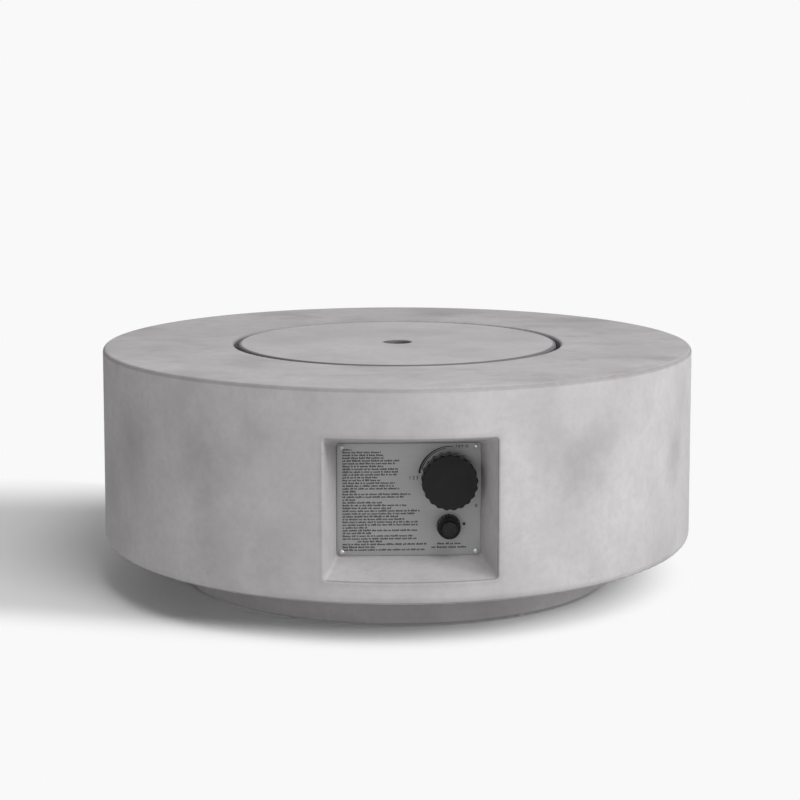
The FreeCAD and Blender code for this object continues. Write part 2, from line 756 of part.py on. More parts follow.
# The stack under the pan: nipple, lock nut, air mixer with its windows, and the gas jet.
def make_stack():
    nipple = new_body("burner_nipple")
    section = new_sketch(nipple, "section", "XY_Plane", NIPPLE_END)
    circle(section, "nipple_radius")
    circle(section, "nipple_bore")
    pad(nipple, section, "tube", f"{NIPPLE_TOP} - {NIPPLE_END}")

    nut = new_body("pan_lock_nut")
    section = new_sketch(nut, "section", "XY_Plane", f"{PAN_UNDER} - lock_nut_thick")
    hexagon(section, "lock_nut_flats")
    circle(section, "nipple_radius + nipple_fit")
    pad(nut, section, "nut", "lock_nut_thick")

    socket = "nipple_radius + nipple_fit"
    throat_low = f"({MIXER_END} + mixer_foot)"
    mixer = turned("air_mixer", [
        (socket, NIPPLE_END),
        (socket, MIXER_TOP),
        ("mixer_radius", MIXER_TOP),
        ("mixer_radius", MIXER_END),
        ("jet_stem_radius + thread_fit", MIXER_END),
        ("jet_stem_radius + thread_fit", throat_low),
        ("mixer_throat", throat_low),
        ("mixer_throat", NIPPLE_END),
    ])
    window = new_sketch(mixer, "window", "XZ_Plane")
    middle = f"({throat_low} + {NIPPLE_END}) / 2"
    rectangle(window, "-air_window_wide / 2", "air_window_wide / 2",
              f"{middle} - air_window_tall / 2", f"{middle} + air_window_tall / 2")
    cut = pocket(mixer, window, "window_cut", "mixer_radius + 1")
    polar(mixer, [cut], "windows", "air_window_count")

    jet = new_body("gas_jet")
    hexed = new_sketch(jet, "hex", "XY_Plane", f"{MIXER_END} - hex_thick")
    hexagon(hexed, "hex_flats")
    pad(jet, hexed, "hex_body", "hex_thick")
    stem = new_sketch(jet, "stem", "XY_Plane", MIXER_END)
    circle(stem, "jet_stem_radius")
    pad(jet, stem, "stem_up", "jet_stem_long")
    flare = new_sketch(jet, "flare", "XY_Plane", JET_END)
    circle(flare, "flare_radius")
    pad(jet, flare, "flare_down", "flare_long")
    bore = new_sketch(jet, "bore", "XY_Plane", JET_END)
    circle(bore, "gas_bore")
    pocket(jet, bore, "bore_up", "flare_long + hex_thick + jet_stem_long / 2", along_normal=True)
    orifice = new_sketch(jet, "orifice", "XY_Plane", f"{MIXER_END} + jet_stem_long")
    circle(orifice, "jet_orifice")
    pocket(jet, orifice, "orifice_down", "jet_stem_long")


# Igniter bracket: base on the pan's floor, upright and shelf, with the electrode in its ceramic
# tube and the thermocouple probe standing in the shelf.
def make_bracket():
    bracket = new_body("electrode_bracket")
    base = new_sketch(bracket, "base", "XY_Plane", PAN_FLOOR)
    rectangle(base, "-bracket_half", "bracket_half", "-bracket_front", "-bracket_back")
    circle(base, "lead_hole_radius", "0", "-sense_front")
    bracket_screw_circles(base, "bracket_screw_radius + thread_fit")
    pad(bracket, base, "base_plate", "bracket_sheet")
    upright = new_sketch(bracket, "upright", "XY_Plane", PAN_FLOOR)
    rectangle(upright, "-bracket_shelf_half", "bracket_shelf_half",
              "-bracket_back - bracket_sheet", "-bracket_back")
    pad(bracket, upright, "upright_plate", "shelf_rise + bracket_sheet")
    shelf = new_sketch(bracket, "shelf", "XY_Plane", f"{SHELF_TOP} - bracket_sheet")
    rectangle(shelf, "-bracket_shelf_half", "bracket_shelf_half", "-bracket_shelf_front", "-bracket_back")
    circle(shelf, "ceramic_radius + probe_fit", "-sense_apart / 2", "-sense_front")
    circle(shelf, "probe_radius + probe_fit", "sense_apart / 2", "-sense_front")
    pad(bracket, shelf, "shelf_plate", "bracket_sheet")

    screws = new_body("bracket_screws")
    shank = new_sketch(screws, "shank", "XY_Plane", f"{PAN_FLOOR} + bracket_sheet - bracket_screw_long")
    bracket_screw_circles(shank, "bracket_screw_radius")
    pad(screws, shank, "shanks", "bracket_screw_long")
    head = new_sketch(screws, "head", "XY_Plane", f"{PAN_FLOOR} + bracket_sheet")
    bracket_screw_circles(head, "bracket_screw_head")
    pad(screws, head, "heads", "bracket_screw_head_thick")

    low = f"({SHELF_TOP} - ceramic_below)"
    bore = "rod_radius + rod_fit"
    ceramic = turned("electrode_ceramic", [
        (bore, low),
        ("ceramic_radius", low),
        ("ceramic_radius", SHELF_TOP),
        ("ceramic_collar", SHELF_TOP),
        ("ceramic_collar", f"{SHELF_TOP} + ceramic_collar_thick"),
        ("ceramic_radius", f"{SHELF_TOP} + ceramic_collar_thick"),
        ("ceramic_radius", f"{low} + ceramic_long"),
        (bore, f"{low} + ceramic_long"),
    ])
    bind(ceramic, ".Placement.Base.x", "-sense_apart / 2")
    bind(ceramic, ".Placement.Base.y", "-sense_front")
    probe = turned("thermocouple_probe", [
        ("0", f"{low} - rod_tail"),
        ("probe_radius", f"{low} - rod_tail"),
        ("probe_radius", SHELF_TOP),
        ("probe_collar", SHELF_TOP),
        ("probe_collar", f"{SHELF_TOP} + probe_collar_thick"),
        ("probe_radius", f"{SHELF_TOP} + probe_collar_thick"),
        ("probe_radius", f"{PAN_FLOOR} + probe_rise"),
        ("0", f"{PAN_FLOOR} + probe_rise"),
    ])
    bind(probe, ".Placement.Base.x", "sense_apart / 2")
    bind(probe, ".Placement.Base.y", "-sense_front")

    place = Vector(-value("sense_apart / 2"), -value("sense_front"), 0)
    top = value(f"{PAN_FLOOR} + rod_rise")
    bend = value("rod_bend")
    foot = place + Vector(0, 0, value(f"{low} - rod_tail"))
    before = place + Vector(0, 0, top - bend)
    middle = place + Vector(0, -bend * (1 - math.cos(math.pi / 4)), top - bend + bend * math.sin(math.pi / 4))
    past = place + Vector(0, -bend, top)
    tip = place + Vector(0, -value("rod_reach"), top)
    path = Part.Wire([Part.makeLine(foot, before), Part.Arc(before, middle, past).toShape(),
                      Part.makeLine(past, tip)])
    feature_of("electrode_rod", swept(path, value("rod_radius"), Vector(0, 0, 1)))


# Control plate at the back of the niche, with its four corner screws.
def make_plate():
    plate = new_body("control_plate")
    face = new_sketch(plate, "face", "XZ_Plane", SEAT)
    rectangle(face, "-plate_wide / 2", "plate_wide / 2",
              "niche_middle - plate_high / 2", "niche_middle + plate_high / 2")
    circle(face, "stem_hole", "knob_right", "knob_high")
    for side in ("-", "+"):
        circle(face, "valve_screw_radius + panel_fit", f"knob_right {side} valve_screw_apart / 2", "knob_high")
    circle(face, "barrel_radius + panel_fit", "igniter_right", "igniter_high")
    plate_corners(face, "plate_screw_radius + panel_fit", "niche_middle")
    pad(plate, face, "sheet", "plate_thick")
    doc.recompute()
    across = value("plate_wide / 2")

    def at_corner(edge):
        ends = [vertex.Point for vertex in edge.Vertexes]
        along = len(ends) == 2 and abs(ends[0].x - ends[1].x) < 0.01 and abs(ends[0].z - ends[1].z) < 0.01
        return along and abs(abs(ends[0].x) - across) < 0.01

    fillet(plate, "corners_rounded", "plate_corner", at_corner)

    screws = new_body("plate_screws")
    shank = new_sketch(screws, "shank", "XZ_Plane", f"{PANEL} - plate_screw_long")
    plate_corners(shank, "plate_screw_radius", "niche_middle")
    pad(screws, shank, "shanks", "plate_screw_long")
    head = new_sketch(screws, "head", "XZ_Plane", PANEL)
    plate_corners(head, "plate_head_radius", "niche_middle")
    pad(screws, head, "heads", "plate_head_thick")
    front = -value(f"{PANEL} + plate_head_thick")
    fillet(screws, "heads_domed", "plate_head_thick * 0.6",
           lambda edge: all(abs(place.y - front) < 0.01 for place in edge.discretize(4)))


# Push-and-turn gas valve behind the plate: body, bonnet, screws, plunger on its spring, stem.
def make_valve():
    block = new_body("valve_body")
    face_panel(block, "knob_right", "knob_high")
    section = new_sketch(block, "section", "XY_Plane", VALVE_BACK)
    left, right, half = "-valve_left", "valve_right", "(valve_high / 2)"
    outline(section, [
        (f"{left} + valve_bevel", f"-{half}"), (f"{right} - valve_bevel", f"-{half}"),
        (right, f"-{half} + valve_bevel"), (right, f"{half} - valve_bevel"),
        (f"{right} - valve_bevel", half), (f"{left} + valve_bevel", half),
        (left, f"{half} - valve_bevel"), (left, f"-{half} + valve_bevel")])
    pad(block, section, "block", "valve_deep")
    cavity = new_sketch(block, "cavity", "XY_Plane", BONNET_BACK)
    circle(cavity, "valve_cavity_radius")
    pocket(block, cavity, "cavity_cut", "valve_cavity_deep")
    threads = new_sketch(block, "threads", "XY_Plane", BONNET_BACK)
    valve_screw_circles(threads, "valve_screw_radius + thread_fit")
    pocket(block, threads, "threads_cut", "valve_screw_long - bonnet_thick")
    outlet = new_sketch(block, "outlet", "XZ_Plane", "valve_high / 2")
    circle(outlet, "gas_bore", "-outlet_left", f"{BONNET_BACK} - valve_deep / 2")
    pocket(block, outlet, "outlet_bore", "valve_high / 2")
    inlet = new_sketch(block, "inlet", "XY_Plane", VALVE_BACK)
    circle(inlet, "gas_bore", "inlet_right")
    pocket(block, inlet, "inlet_bore", "valve_deep / 2", along_normal=True)

    bonnet = new_body("valve_bonnet")
    face_panel(bonnet, "knob_right", "knob_high")
    section = new_sketch(bonnet, "section", "XY_Plane", BONNET_BACK)
    rectangle(section, "-bonnet_wide / 2", "bonnet_wide / 2", "-bonnet_high / 2", "bonnet_high / 2")
    circle(section, "stem_radius + running_fit")
    valve_screw_circles(section, "valve_screw_radius + thread_fit")
    pad(bonnet, section, "flange", "bonnet_thick")

    screws = new_body("valve_screws")
    face_panel(screws, "knob_right", "knob_high")
    shank = new_sketch(screws, "shank", "XY_Plane", f"{PANEL} - valve_screw_long")
    valve_screw_circles(shank, "valve_screw_radius")
    pad(screws, shank, "shanks", "valve_screw_long")
    head = new_sketch(screws, "head", "XY_Plane", PANEL)
    valve_screw_circles(head, "valve_screw_head")
    pad(screws, head, "heads", "valve_screw_head_thick")

    plunger = new_body("valve_plunger")
    face_panel(plunger, "knob_right", "knob_high")
    disc = new_sketch(plunger, "disc", "XY_Plane", f"{BONNET_BACK} - plunger_thick")
    circle(disc, "plunger_radius")
    pad(plunger, disc, "disc_pad", "plunger_thick")
    rod = new_sketch(plunger, "rod", "XY_Plane", f"{BONNET_BACK} - plunger_thick - plunger_rod_long")
    circle(rod, "plunger_rod")
    pad(plunger, rod, "rod_pad", "plunger_rod_long")

    stem = new_body("valve_stem")
    face_panel(stem, "knob_right", "knob_high")
    shaft = new_sketch(stem, "shaft", "XY_Plane", BONNET_BACK)
    circle(shaft, "stem_radius")
    pad(stem, shaft, "shaft_pad", f"{KNOB_BACK} + stem_in_knob - {BONNET_BACK}")
    flat = new_sketch(stem, "flat", "XY_Plane", f"{KNOB_BACK} + stem_in_knob")
    rectangle(flat, "-stem_radius - 1", "stem_radius + 1", "stem_flat", "stem_radius + 1")
    pocket(stem, flat, "flat_cut", "stem_in_knob")

    coil = spring("valve_coil_radius", "valve_wire", "valve_turns",
                  f"{BONNET_BACK} - valve_cavity_deep", f"{BONNET_BACK} - plunger_thick")
    thing = feature_of("valve_spring", coil)
    face_panel(thing, "knob_right", "knob_high")


def valve_screw_circles(sketch, radius):
    for side in ("-", ""):
        circle(sketch, radius, f"{side}valve_screw_apart / 2")


# Knob: a pad ringed with convex lobes, bevelled at the face, hollow behind, with a hub whose
# bore carries a flat for the stem.
def make_knob():
    knob = new_body("control_knob")
    face_panel(knob, "knob_right", "knob_high")
    core = new_sketch(knob, "core", "XY_Plane", KNOB_BACK)
    circle(core, "knob_radius - lobe_rise")
    pad(knob, core, "core_pad", "knob_tall")
    lobe = new_sketch(knob, "lobe", "XY_Plane", KNOB_BACK)
    circle(lobe, "lobe_radius", "0", "knob_radius - lobe_radius")
    polar(knob, [pad(knob, lobe, "lobe_pad", "knob_tall")], "lobes", "lobe_count")
    bevel = new_sketch(knob, "bevel", "XZ_Plane")
    outline(bevel, [("knob_radius - knob_bevel", KNOB_FRONT), ("knob_radius", f"{KNOB_FRONT} - knob_bevel"),
                    ("knob_radius + 1", f"{KNOB_FRONT} - knob_bevel"), ("knob_radius + 1", f"{KNOB_FRONT} + 1"),
                    ("knob_radius - knob_bevel", f"{KNOB_FRONT} + 1")])
    revolve(knob, bevel, "face_bevel", "Groove")
    hollow = new_sketch(knob, "hollow", "XY_Plane", KNOB_BACK)
    circle(hollow, "knob_radius - knob_skin")
    circle(hollow, "knob_hub")
    pocket(knob, hollow, "hollow_cut", "knob_tall - knob_face", along_normal=True)
    bore = new_sketch(knob, "bore", "XY_Plane", KNOB_BACK)
    circle(bore, "stem_radius + stem_fit")
    pocket(knob, bore, "bore_cut", "stem_in_knob", along_normal=True)
    key = new_sketch(knob, "key", "XY_Plane", KNOB_BACK)
    rectangle(key, "-stem_radius", "stem_radius", "stem_flat + stem_fit", "stem_radius + 1")
    pad(knob, key, "key_pad", "stem_in_knob")


# Gas fittings: flared male ends on the valve's outlet and inlet, the two nuts of the hose, and
# the nut of the thermocouple's capillary.
def make_fittings():
    outlet_right = "(knob_right - outlet_left)"
    outlet_front = f"(-({BONNET_BACK} - valve_deep / 2))"
    outlet = new_body("outlet_fitting")
    hexed = new_sketch(outlet, "hex", "XY_Plane", f"{OUTLET_END} + flare_long")
    hexagon(hexed, "hex_flats", outlet_right, outlet_front)
    pad(outlet, hexed, "hex_body", "hex_thick")
    flare = new_sketch(outlet, "flare", "XY_Plane", OUTLET_END)
    circle(flare, "flare_radius", outlet_right, outlet_front)
    pad(outlet, flare, "flare_down", "flare_long")
    bore = new_sketch(outlet, "bore", "XY_Plane", OUTLET_END)
    circle(bore, "gas_bore", outlet_right, outlet_front)
    pocket(outlet, bore, "bore_up", "flare_long + hex_thick", along_normal=True)

    inlet = new_body("inlet_fitting")
    face_panel(inlet, "knob_right + inlet_right", "knob_high")
    hexed = new_sketch(inlet, "hex", "XY_Plane", f"{VALVE_BACK} - hex_thick")
    hexagon(hexed, "hex_flats")
    pad(inlet, hexed, "hex_body", "hex_thick")
    flare = new_sketch(inlet, "flare", "XY_Plane", f"{VALVE_BACK} - hex_thick - inlet_long")
    circle(flare, "flare_radius")
    pad(inlet, flare, "flare_back", "inlet_long")
    bore = new_sketch(inlet, "bore", "XY_Plane", VALVE_BACK)
    circle(bore, "gas_bore")
    pocket(inlet, bore, "bore_back", "inlet_long + hex_thick")

    nuts = new_body("hose_nuts")
    places = (("jet", "0", "0", JET_END), ("valve", outlet_right, outlet_front, OUTLET_END))
    for name, x, y, end in places:
        low = f"({end} + flare_long - nut_fit - nut_long)"
        section = new_sketch(nuts, f"{name}_section", "XY_Plane", low)
        hexagon(section, "nut_flats", x, y)
        pad(nuts, section, f"{name}_nut", "nut_long")
    for name, x, y, end in places:
        low = f"({end} + flare_long - nut_fit - nut_long)"
        thread = new_sketch(nuts, f"{name}_thread", "XY_Plane", end)
        circle(thread, "flare_radius + thread_fit", x, y)
        pocket(nuts, thread, f"{name}_thread_cut", "flare_long", along_normal=True)
        grip = new_sketch(nuts, f"{name}_grip", "XY_Plane", low)
        circle(grip, "hose_radius + thread_fit", x, y)
        pocket(nuts, grip, f"{name}_grip_cut", f"{end} - {low}", along_normal=True)

    sense = new_body("thermocouple_nut")
    face_panel(sense, "knob_right - sense_port_left", "knob_high")
    section = new_sketch(sense, "section", "XY_Plane", f"{VALVE_BACK} - sense_nut_long")
    hexagon(section, "sense_nut_flats")
    circle(section, "capillary_radius + thread_fit")
    pad(sense, section, "nut", "sense_nut_long")


# Push-button igniter: housing with its collar and battery barrel, ring nut, cell, spring,
# button and the two blades at the back.
def make_igniter():
    cell = "battery_radius + battery_fit"
    guide = "button_radius + button_fit"
    housing = turned("igniter_housing", [
        ("0", BARREL_BACK),
        ("barrel_radius", BARREL_BACK),
        ("barrel_radius", PANEL),
        ("igniter_collar", PANEL),
        ("igniter_collar - igniter_taper", f"{PANEL} + collar_show"),
        (guide, f"{PANEL} + collar_show"),
        (guide, f"{PANEL} + button_guide"),
        (cell, f"{PANEL} + button_guide"),
        (cell, BATTERY_BACK),
        ("0", BATTERY_BACK),
    ])
    face_panel(housing, "igniter_right", "igniter_high")
    fillet(housing, "collar_rounded", "button_round",
           ring_at("igniter_collar - igniter_taper", f"{PANEL} + collar_show"))

    nut = new_body("igniter_nut")
    face_panel(nut, "igniter_right", "igniter_high")
    section = new_sketch(nut, "section", "XY_Plane", f"{SEAT} - igniter_nut_thick")
    circle(section, "igniter_nut_radius")
    circle(section, "barrel_radius + thread_fit")
    pad(nut, section, "ring", "igniter_nut_thick")

    battery = turned("igniter_battery", [
        ("0", BATTERY_BACK),
        ("battery_radius", BATTERY_BACK),
        ("battery_radius", f"{BATTERY_FRONT} - battery_nub"),
        ("battery_nub_radius", f"{BATTERY_FRONT} - battery_nub"),
        ("battery_nub_radius", BATTERY_FRONT),
        ("0", BATTERY_FRONT),
    ])
    face_panel(battery, "igniter_right", "igniter_high")

    front = f"({PANEL} + button_show)"
    button = turned("igniter_button", [
        ("0", BUTTON_BACK), ("button_radius", BUTTON_BACK), ("button_radius", front), ("0", front)])
    face_panel(button, "igniter_right", "igniter_high")
    fillet(button, "face_rounded", "button_round", ring_at("button_radius", front))

    coil = spring("button_coil_radius", "button_wire", "button_turns",
                  f"{BATTERY_FRONT} - battery_nub", BUTTON_BACK)
    face_panel(feature_of("button_spring", coil), "igniter_right", "igniter_high")

    blades = new_body("igniter_terminals")
    face_panel(blades, "igniter_right", "igniter_high")
    section = new_sketch(blades, "section", "XY_Plane", f"{BARREL_BACK} - terminal_long")
    for side in ("-", ""):
        middle = f"({side}terminal_apart / 2)"
        rectangle(section, f"{middle} - terminal_thick / 2", f"{middle} + terminal_thick / 2",
                  "-terminal_wide / 2", "terminal_wide / 2")
    pad(blades, section, "blades_pad", "terminal_long")


def spring(coil_radius, wire, turns, low, high):
    """Open coil between two seats on the own Z axis: a flat-sided wire swept along a helix."""
    radius, half = value(coil_radius), value(wire)
    gap = 0.05
    bottom = value(low) + half + gap
    height = value(high) - value(low) - 2 * (half + gap)
    helix = Part.makeHelix(height / value(turns), height, radius)
    helix.translate(Vector(0, 0, bottom))
    corners = [Vector(radius - half, 0, bottom - half), Vector(radius + half, 0, bottom - half),
               Vector(radius + half, 0, bottom + half), Vector(radius - half, 0, bottom + half)]
    section = Part.makePolygon(corners + corners[:1])
    return Part.Wire(helix.Edges).makePipeShell([section], True, True)


def swept(path, radius, direction):
    """Solid round rod along a path that starts in this direction."""
    start = path.Edges[0].valueAt(path.Edges[0].FirstParameter)
    section = Part.Wire(Part.makeCircle(radius, start, direction))
    solid = path.makePipeShell([section], True, False)
    expected = math.pi * radius ** 2 * path.Length
    if abs(solid.Volume - expected) > 0.01 * expected:
        raise RuntimeError(f"swept rod holds {solid.Volume:.0f}, not {expected:.0f}")
    return solid


def cord(label, points, radius):
    """Round cord of straight runs joined by tangent arcs at the inner points of its route."""
    share = 0.45
    route = [Vector(*point) for point in points]
    edges = []
    radii = []
    last = route[0]
    for before, corner, after in zip(route, route[1:], route[2:]):
        back, ahead = (before - corner), (after - corner)
        reach = share * min(back.Length, ahead.Length)
        back.normalize()
        ahead.normalize()
        turn = math.pi - back.getAngle(ahead)
        bend = reach / math.tan(turn / 2)
        radii.append(round(bend))
        start, end = corner + back * reach, corner + ahead * reach
        inward = (back + ahead).normalize()
        middle = corner + inward * (math.hypot(bend, reach) - bend)
        edges += [Part.makeLine(last, start), Part.Arc(start, middle, end).toShape()]
        last = end
    edges.append(Part.makeLine(last, route[-1]))
    print(label, "radii", radii)
    feature_of(label, swept(Part.Wire(edges), radius, route[1] - route[0]))


# Hose from the valve's outlet to the jet, the lead of the spark electrode, and the capillary
# of the thermocouple. Their ends lie on the fittings, and they sag between them.
def make_cords():
    cord("burner_hose", [
        (value("knob_right - outlet_left"), -value(f"{BONNET_BACK} - valve_deep / 2"), value(OUTLET_END)),
        (30, -413, 176), (28.8, -397, 141), (26.4, -363, 116), (22.5, -309, 95), (17, -233.5, 78),
        (11.2, -154, 74), (6, -82, 88), (2.2, -30, 118), (0, 0, 165),
        (0, 0, value(JET_END))], value("hose_radius"))
    tail = value(f"{SHELF_TOP} - ceramic_below - rod_tail")
    front = -value("sense_front")
    half = value("sense_apart / 2")
    blade = value("igniter_right - terminal_apart / 2")
    blade_end = -value(f"{BARREL_BACK} - terminal_long")
    cord("spark_lead", [
        (-half, front, tail), (-7, -122, 297), (-6, -134, 273), (0, -158, 247), (10, -190, 223),
        (22, -228, 203), (34, -270, 189), (48, -312, 180), (58, -350, 181),
        (blade, blade_end, value("igniter_high"))], value("lead_radius"))
    cord("thermocouple_lead", [
        (half, front, tail), (7, -122, 299), (9, -133, 278), (13, -156, 262), (19, -188, 250),
        (26, -226, 243), (33, -266, 241), (40, -306, 245), (44, -342, 253), (44, -368, 259),
        (value("knob_right - sense_port_left"), -value(VALVE_BACK), value("knob_high"))],
         value("capillary_radius"))


def check_and_write():
    """Stop on any failed object or bad shape, then write one file for each sub-part."""
    doc.removeObject(reader.Name)
    doc.recompute()
    for item in doc.Objects:
        if "Invalid" in item.State or "Error" in item.State:
            raise RuntimeError(f"{item.Name} failed: {item.State}")
    for node in nodes:
        if node.Shape.isNull() or not node.Shape.isValid() or not node.Shape.Solids:
            raise RuntimeError(f"{node.Label} has no valid solid")
    os.makedirs("parts", exist_ok=True)
    for node in nodes:
        node.Shape.exportStep(f"parts/{node.Label}.step")
    print(len(nodes), "sub-parts")


make_shell()
make_base()
make_plinth()
make_fixings()
make_lid()
make_pan()
make_burner()
make_stack()
make_bracket()
make_plate()
make_valve()
make_knob()
make_fittings()
make_igniter()
make_cords()
check_and_write()
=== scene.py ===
import math

import bmesh
import bpy
import numpy as np
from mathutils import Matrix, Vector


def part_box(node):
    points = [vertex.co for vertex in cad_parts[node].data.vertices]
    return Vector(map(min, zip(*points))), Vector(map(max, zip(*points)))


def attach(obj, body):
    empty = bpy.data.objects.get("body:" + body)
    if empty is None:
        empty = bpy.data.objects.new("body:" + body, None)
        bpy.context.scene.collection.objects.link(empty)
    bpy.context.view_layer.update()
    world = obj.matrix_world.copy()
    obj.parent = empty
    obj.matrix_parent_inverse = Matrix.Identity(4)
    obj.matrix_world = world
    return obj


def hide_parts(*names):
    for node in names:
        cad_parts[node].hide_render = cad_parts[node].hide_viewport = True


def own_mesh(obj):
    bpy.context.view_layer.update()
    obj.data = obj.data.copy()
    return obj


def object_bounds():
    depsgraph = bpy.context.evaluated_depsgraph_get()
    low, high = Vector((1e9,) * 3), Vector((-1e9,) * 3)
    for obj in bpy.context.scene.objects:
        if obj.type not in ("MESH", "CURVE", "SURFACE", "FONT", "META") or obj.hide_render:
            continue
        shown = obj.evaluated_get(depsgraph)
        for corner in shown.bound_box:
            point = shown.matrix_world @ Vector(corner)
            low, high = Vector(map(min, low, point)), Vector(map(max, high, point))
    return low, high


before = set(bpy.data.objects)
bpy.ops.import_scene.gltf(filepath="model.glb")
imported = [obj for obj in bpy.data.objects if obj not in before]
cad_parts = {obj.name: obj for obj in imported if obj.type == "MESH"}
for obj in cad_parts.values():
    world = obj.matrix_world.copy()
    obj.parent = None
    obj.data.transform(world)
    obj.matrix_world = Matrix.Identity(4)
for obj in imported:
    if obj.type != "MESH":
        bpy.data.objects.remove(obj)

cad_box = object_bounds()


# The drum: a hollow shell of glass-fibre reinforced concrete, sprayed into a smooth mould and
# turned out with its niche, lid ledge and collar. A flat ring of the same mix is bonded into
# the foot of its wall.

def linear(hex_colour):
    """An sRGB colour such as "#b8b6b7" as the linear red, green, blue and alpha of a socket."""
    parts = [int(hex_colour[k:k + 2], 16) / 255 for k in (1, 3, 5)]
    return [c / 12.92 if c <= 0.04045 else ((c + 0.055) / 1.055) ** 2.4 for c in parts] + [1.0]


def fill_inputs(tree, made, inputs):
    """Fill or link a node's inputs, given in their order, or by name or number. A node stands for
    its first output, and a hex colour is made linear."""
    for socket, source in inputs.items() if isinstance(inputs, dict) else enumerate(inputs):
        if isinstance(source, bpy.types.Node):
            source = source.outputs[0]
        if isinstance(source, bpy.types.NodeSocket):
            tree.links.new(source, made.inputs[socket])
        else:
            made.inputs[socket].default_value = linear(source) if isinstance(source, str) else source


def add_node(tree, kind, inputs=(), **settings):
    """Add a node, set its properties, and fill or link its inputs."""
    made = tree.nodes.new("ShaderNode" + kind)
    for name, setting in settings.items():
        setattr(made, name, setting)
    fill_inputs(tree, made, inputs)
    return made


def new_material(name, **inputs):
    """A material with a Principled shader, and the tree, shader and Object coordinates to build on."""
    material = bpy.data.materials.new(name)
    material.use_nodes = True
    tree = material.node_tree
    shader = tree.nodes["Principled BSDF"]
    fill_inputs(tree, shader, {socket.replace("_", " "): setting for socket, setting in inputs.items()})
    return material, tree, shader, add_node(tree, "TexCoord").outputs["Object"]


def finish_nodes(material, *names):
    """Give carried-over CAD nodes this material."""
    for name in names:
        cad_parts[name].material_slots[0].material = material


def blots(tree, place, size_mm, stretch=(1, 1, 1), detail=3.0, roughness=0.5):
    """Soft noise whose blots are about this many millimetres wide, drawn out by stretch."""
    drawn = add_node(tree, "Mapping", {"Vector": place, "Scale": [1 / share for share in stretch]})
    return add_node(tree, "TexNoise", {"Vector": drawn, "Scale": 1000 / size_mm, "Detail": detail,
                                       "Roughness": roughness})


def mask(tree, *steps):
    """The product of smooth steps. Each is a measure, the levels between which it steps, and what
    it then runs from and to, which is 0 to 1 where that is left out."""
    product = None
    for step in steps:
        smooth = add_node(tree, "MapRange", step, interpolation_type="SMOOTHSTEP")
        both = (product, smooth)
        product = add_node(tree, "Math", both, operation="MULTIPLY") if product else smooth
    return product


def coats(tree, base, *layers):
    """Colours laid over a base one after another, each as far as its mask says."""
    for share, colour in layers:
        base = add_node(tree, "Mix", {0: share, 6: base, 7: colour}, data_type="RGBA").outputs[2]
    return base


def relief(tree, shader, *layers):
    """Raise the surface in layers, each on the last: a height of 0 to 1, its depth in millimetres
    and its strength."""
    under = {}
    for height, depth_mm, strength in layers:
        made = add_node(tree, "Bump", {"Height": height, "Distance": depth_mm / 1000,
                                       "Strength": strength, **under})
        under = {"Normal": made}
    fill_inputs(tree, shader, under)


def cast_concrete(name, pale, middle, dark, seed, darker=None):
    """Sealed cast concrete: cloudy where the mix dried unevenly, faint runs down the mould, fine
    sand in the skin and a few pinholes. The sealer leaves it matt with a very slight sheen.
    darker is a function from tree, place and patches to a mask of 0 to 1, laid over in deep grey."""
    material, tree, shader, place = new_material(name, Roughness=0.8, Specular_IOR_Level=0.3)
    shifted = add_node(tree, "Mapping", {"Vector": place, "Location": (seed, seed * 0.7, seed * 0.3)})
    clouds = blots(tree, shifted, 240, detail=2.0, roughness=0.45)
    patches = blots(tree, shifted, 120, stretch=(1, 1, 1.2), detail=3.0, roughness=0.45)
    runs = blots(tree, shifted, 16, stretch=(1, 1, 9), detail=2.0)
    mottle = blots(tree, shifted, 34, detail=3.0, roughness=0.55)
    grain = blots(tree, shifted, 12, detail=4.0, roughness=0.65)
    sand = blots(tree, shifted, 2.2, detail=2.0)
    cells = add_node(tree, "TexVoronoi", {"Vector": shifted, "Scale": 1000 / 34}, feature="F1")
    base = coats(tree, middle,
                 (mask(tree, (clouds, 0.36, 0.66)), pale),
                 (mask(tree, (patches, 0.42, 0.76, 0.0, 0.5)), dark),
                 (mask(tree, (runs, 0.5, 0.8, 0.0, 0.12)), dark),
                 (mask(tree, (mottle, 0.42, 0.72, 0.0, 0.22)), dark),
                 (mask(tree, (grain, 0.35, 0.72, 0.0, 0.26)), dark),
                 (mask(tree, (cells.outputs["Distance"], 0.03, 0.045, 0.3, 0.0)), "#5e5c5e"))
    if darker:
        base = coats(tree, base, (darker(tree, place, patches), "#5a585b"))
    sheen = mask(tree, (patches, 0.3, 0.7, 0.76, 0.87))
    fill_inputs(tree, shader, {"Base Color": base, "Roughness": sheen})
    pinholes = mask(tree, (cells.outputs["Distance"], 0.03, 0.045, 1.0, 0.0))
    relief(tree, shader, (grain, 0.25, 0.5), (sand, 0.12, 0.45), (pinholes, -0.5, 0.6))
    return material


def from_axis(tree, place):
    """How far each point stands from the drum's upright axis."""
    level = add_node(tree, "VectorMath", (place, (1, 1, 0)), operation="MULTIPLY")
    return add_node(tree, "VectorMath", [level], operation="LENGTH").outputs["Value"]


drum_radius, drum_top = cad_box[1][0], cad_box[1][2]
drum_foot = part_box("concrete_shell")[0][2]
lid_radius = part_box("lid")[1][0]
lid_gap = 0.009
lid_seat = lid_radius + lid_gap

# The niche's mouth is a box about this point, given by its half width, a half depth that reaches past
# the wall, and its half height. Each dark cloud is given by x and z on the drum's front, the ragged
# radii between which it fades, and its depth.
mouth_middle = (0, 0, 0.225)
mouth_half = (0.1375, 1.0, 0.1135)
dark_clouds = [(0.292, 0.276, -0.030, 0.035, 0.20), (0.463, 0.240, -0.030, 0.020, 0.15),
               (-0.345, 0.285, -0.025, 0.045, 0.15), (-0.455, 0.240, -0.025, 0.040, 0.12)]


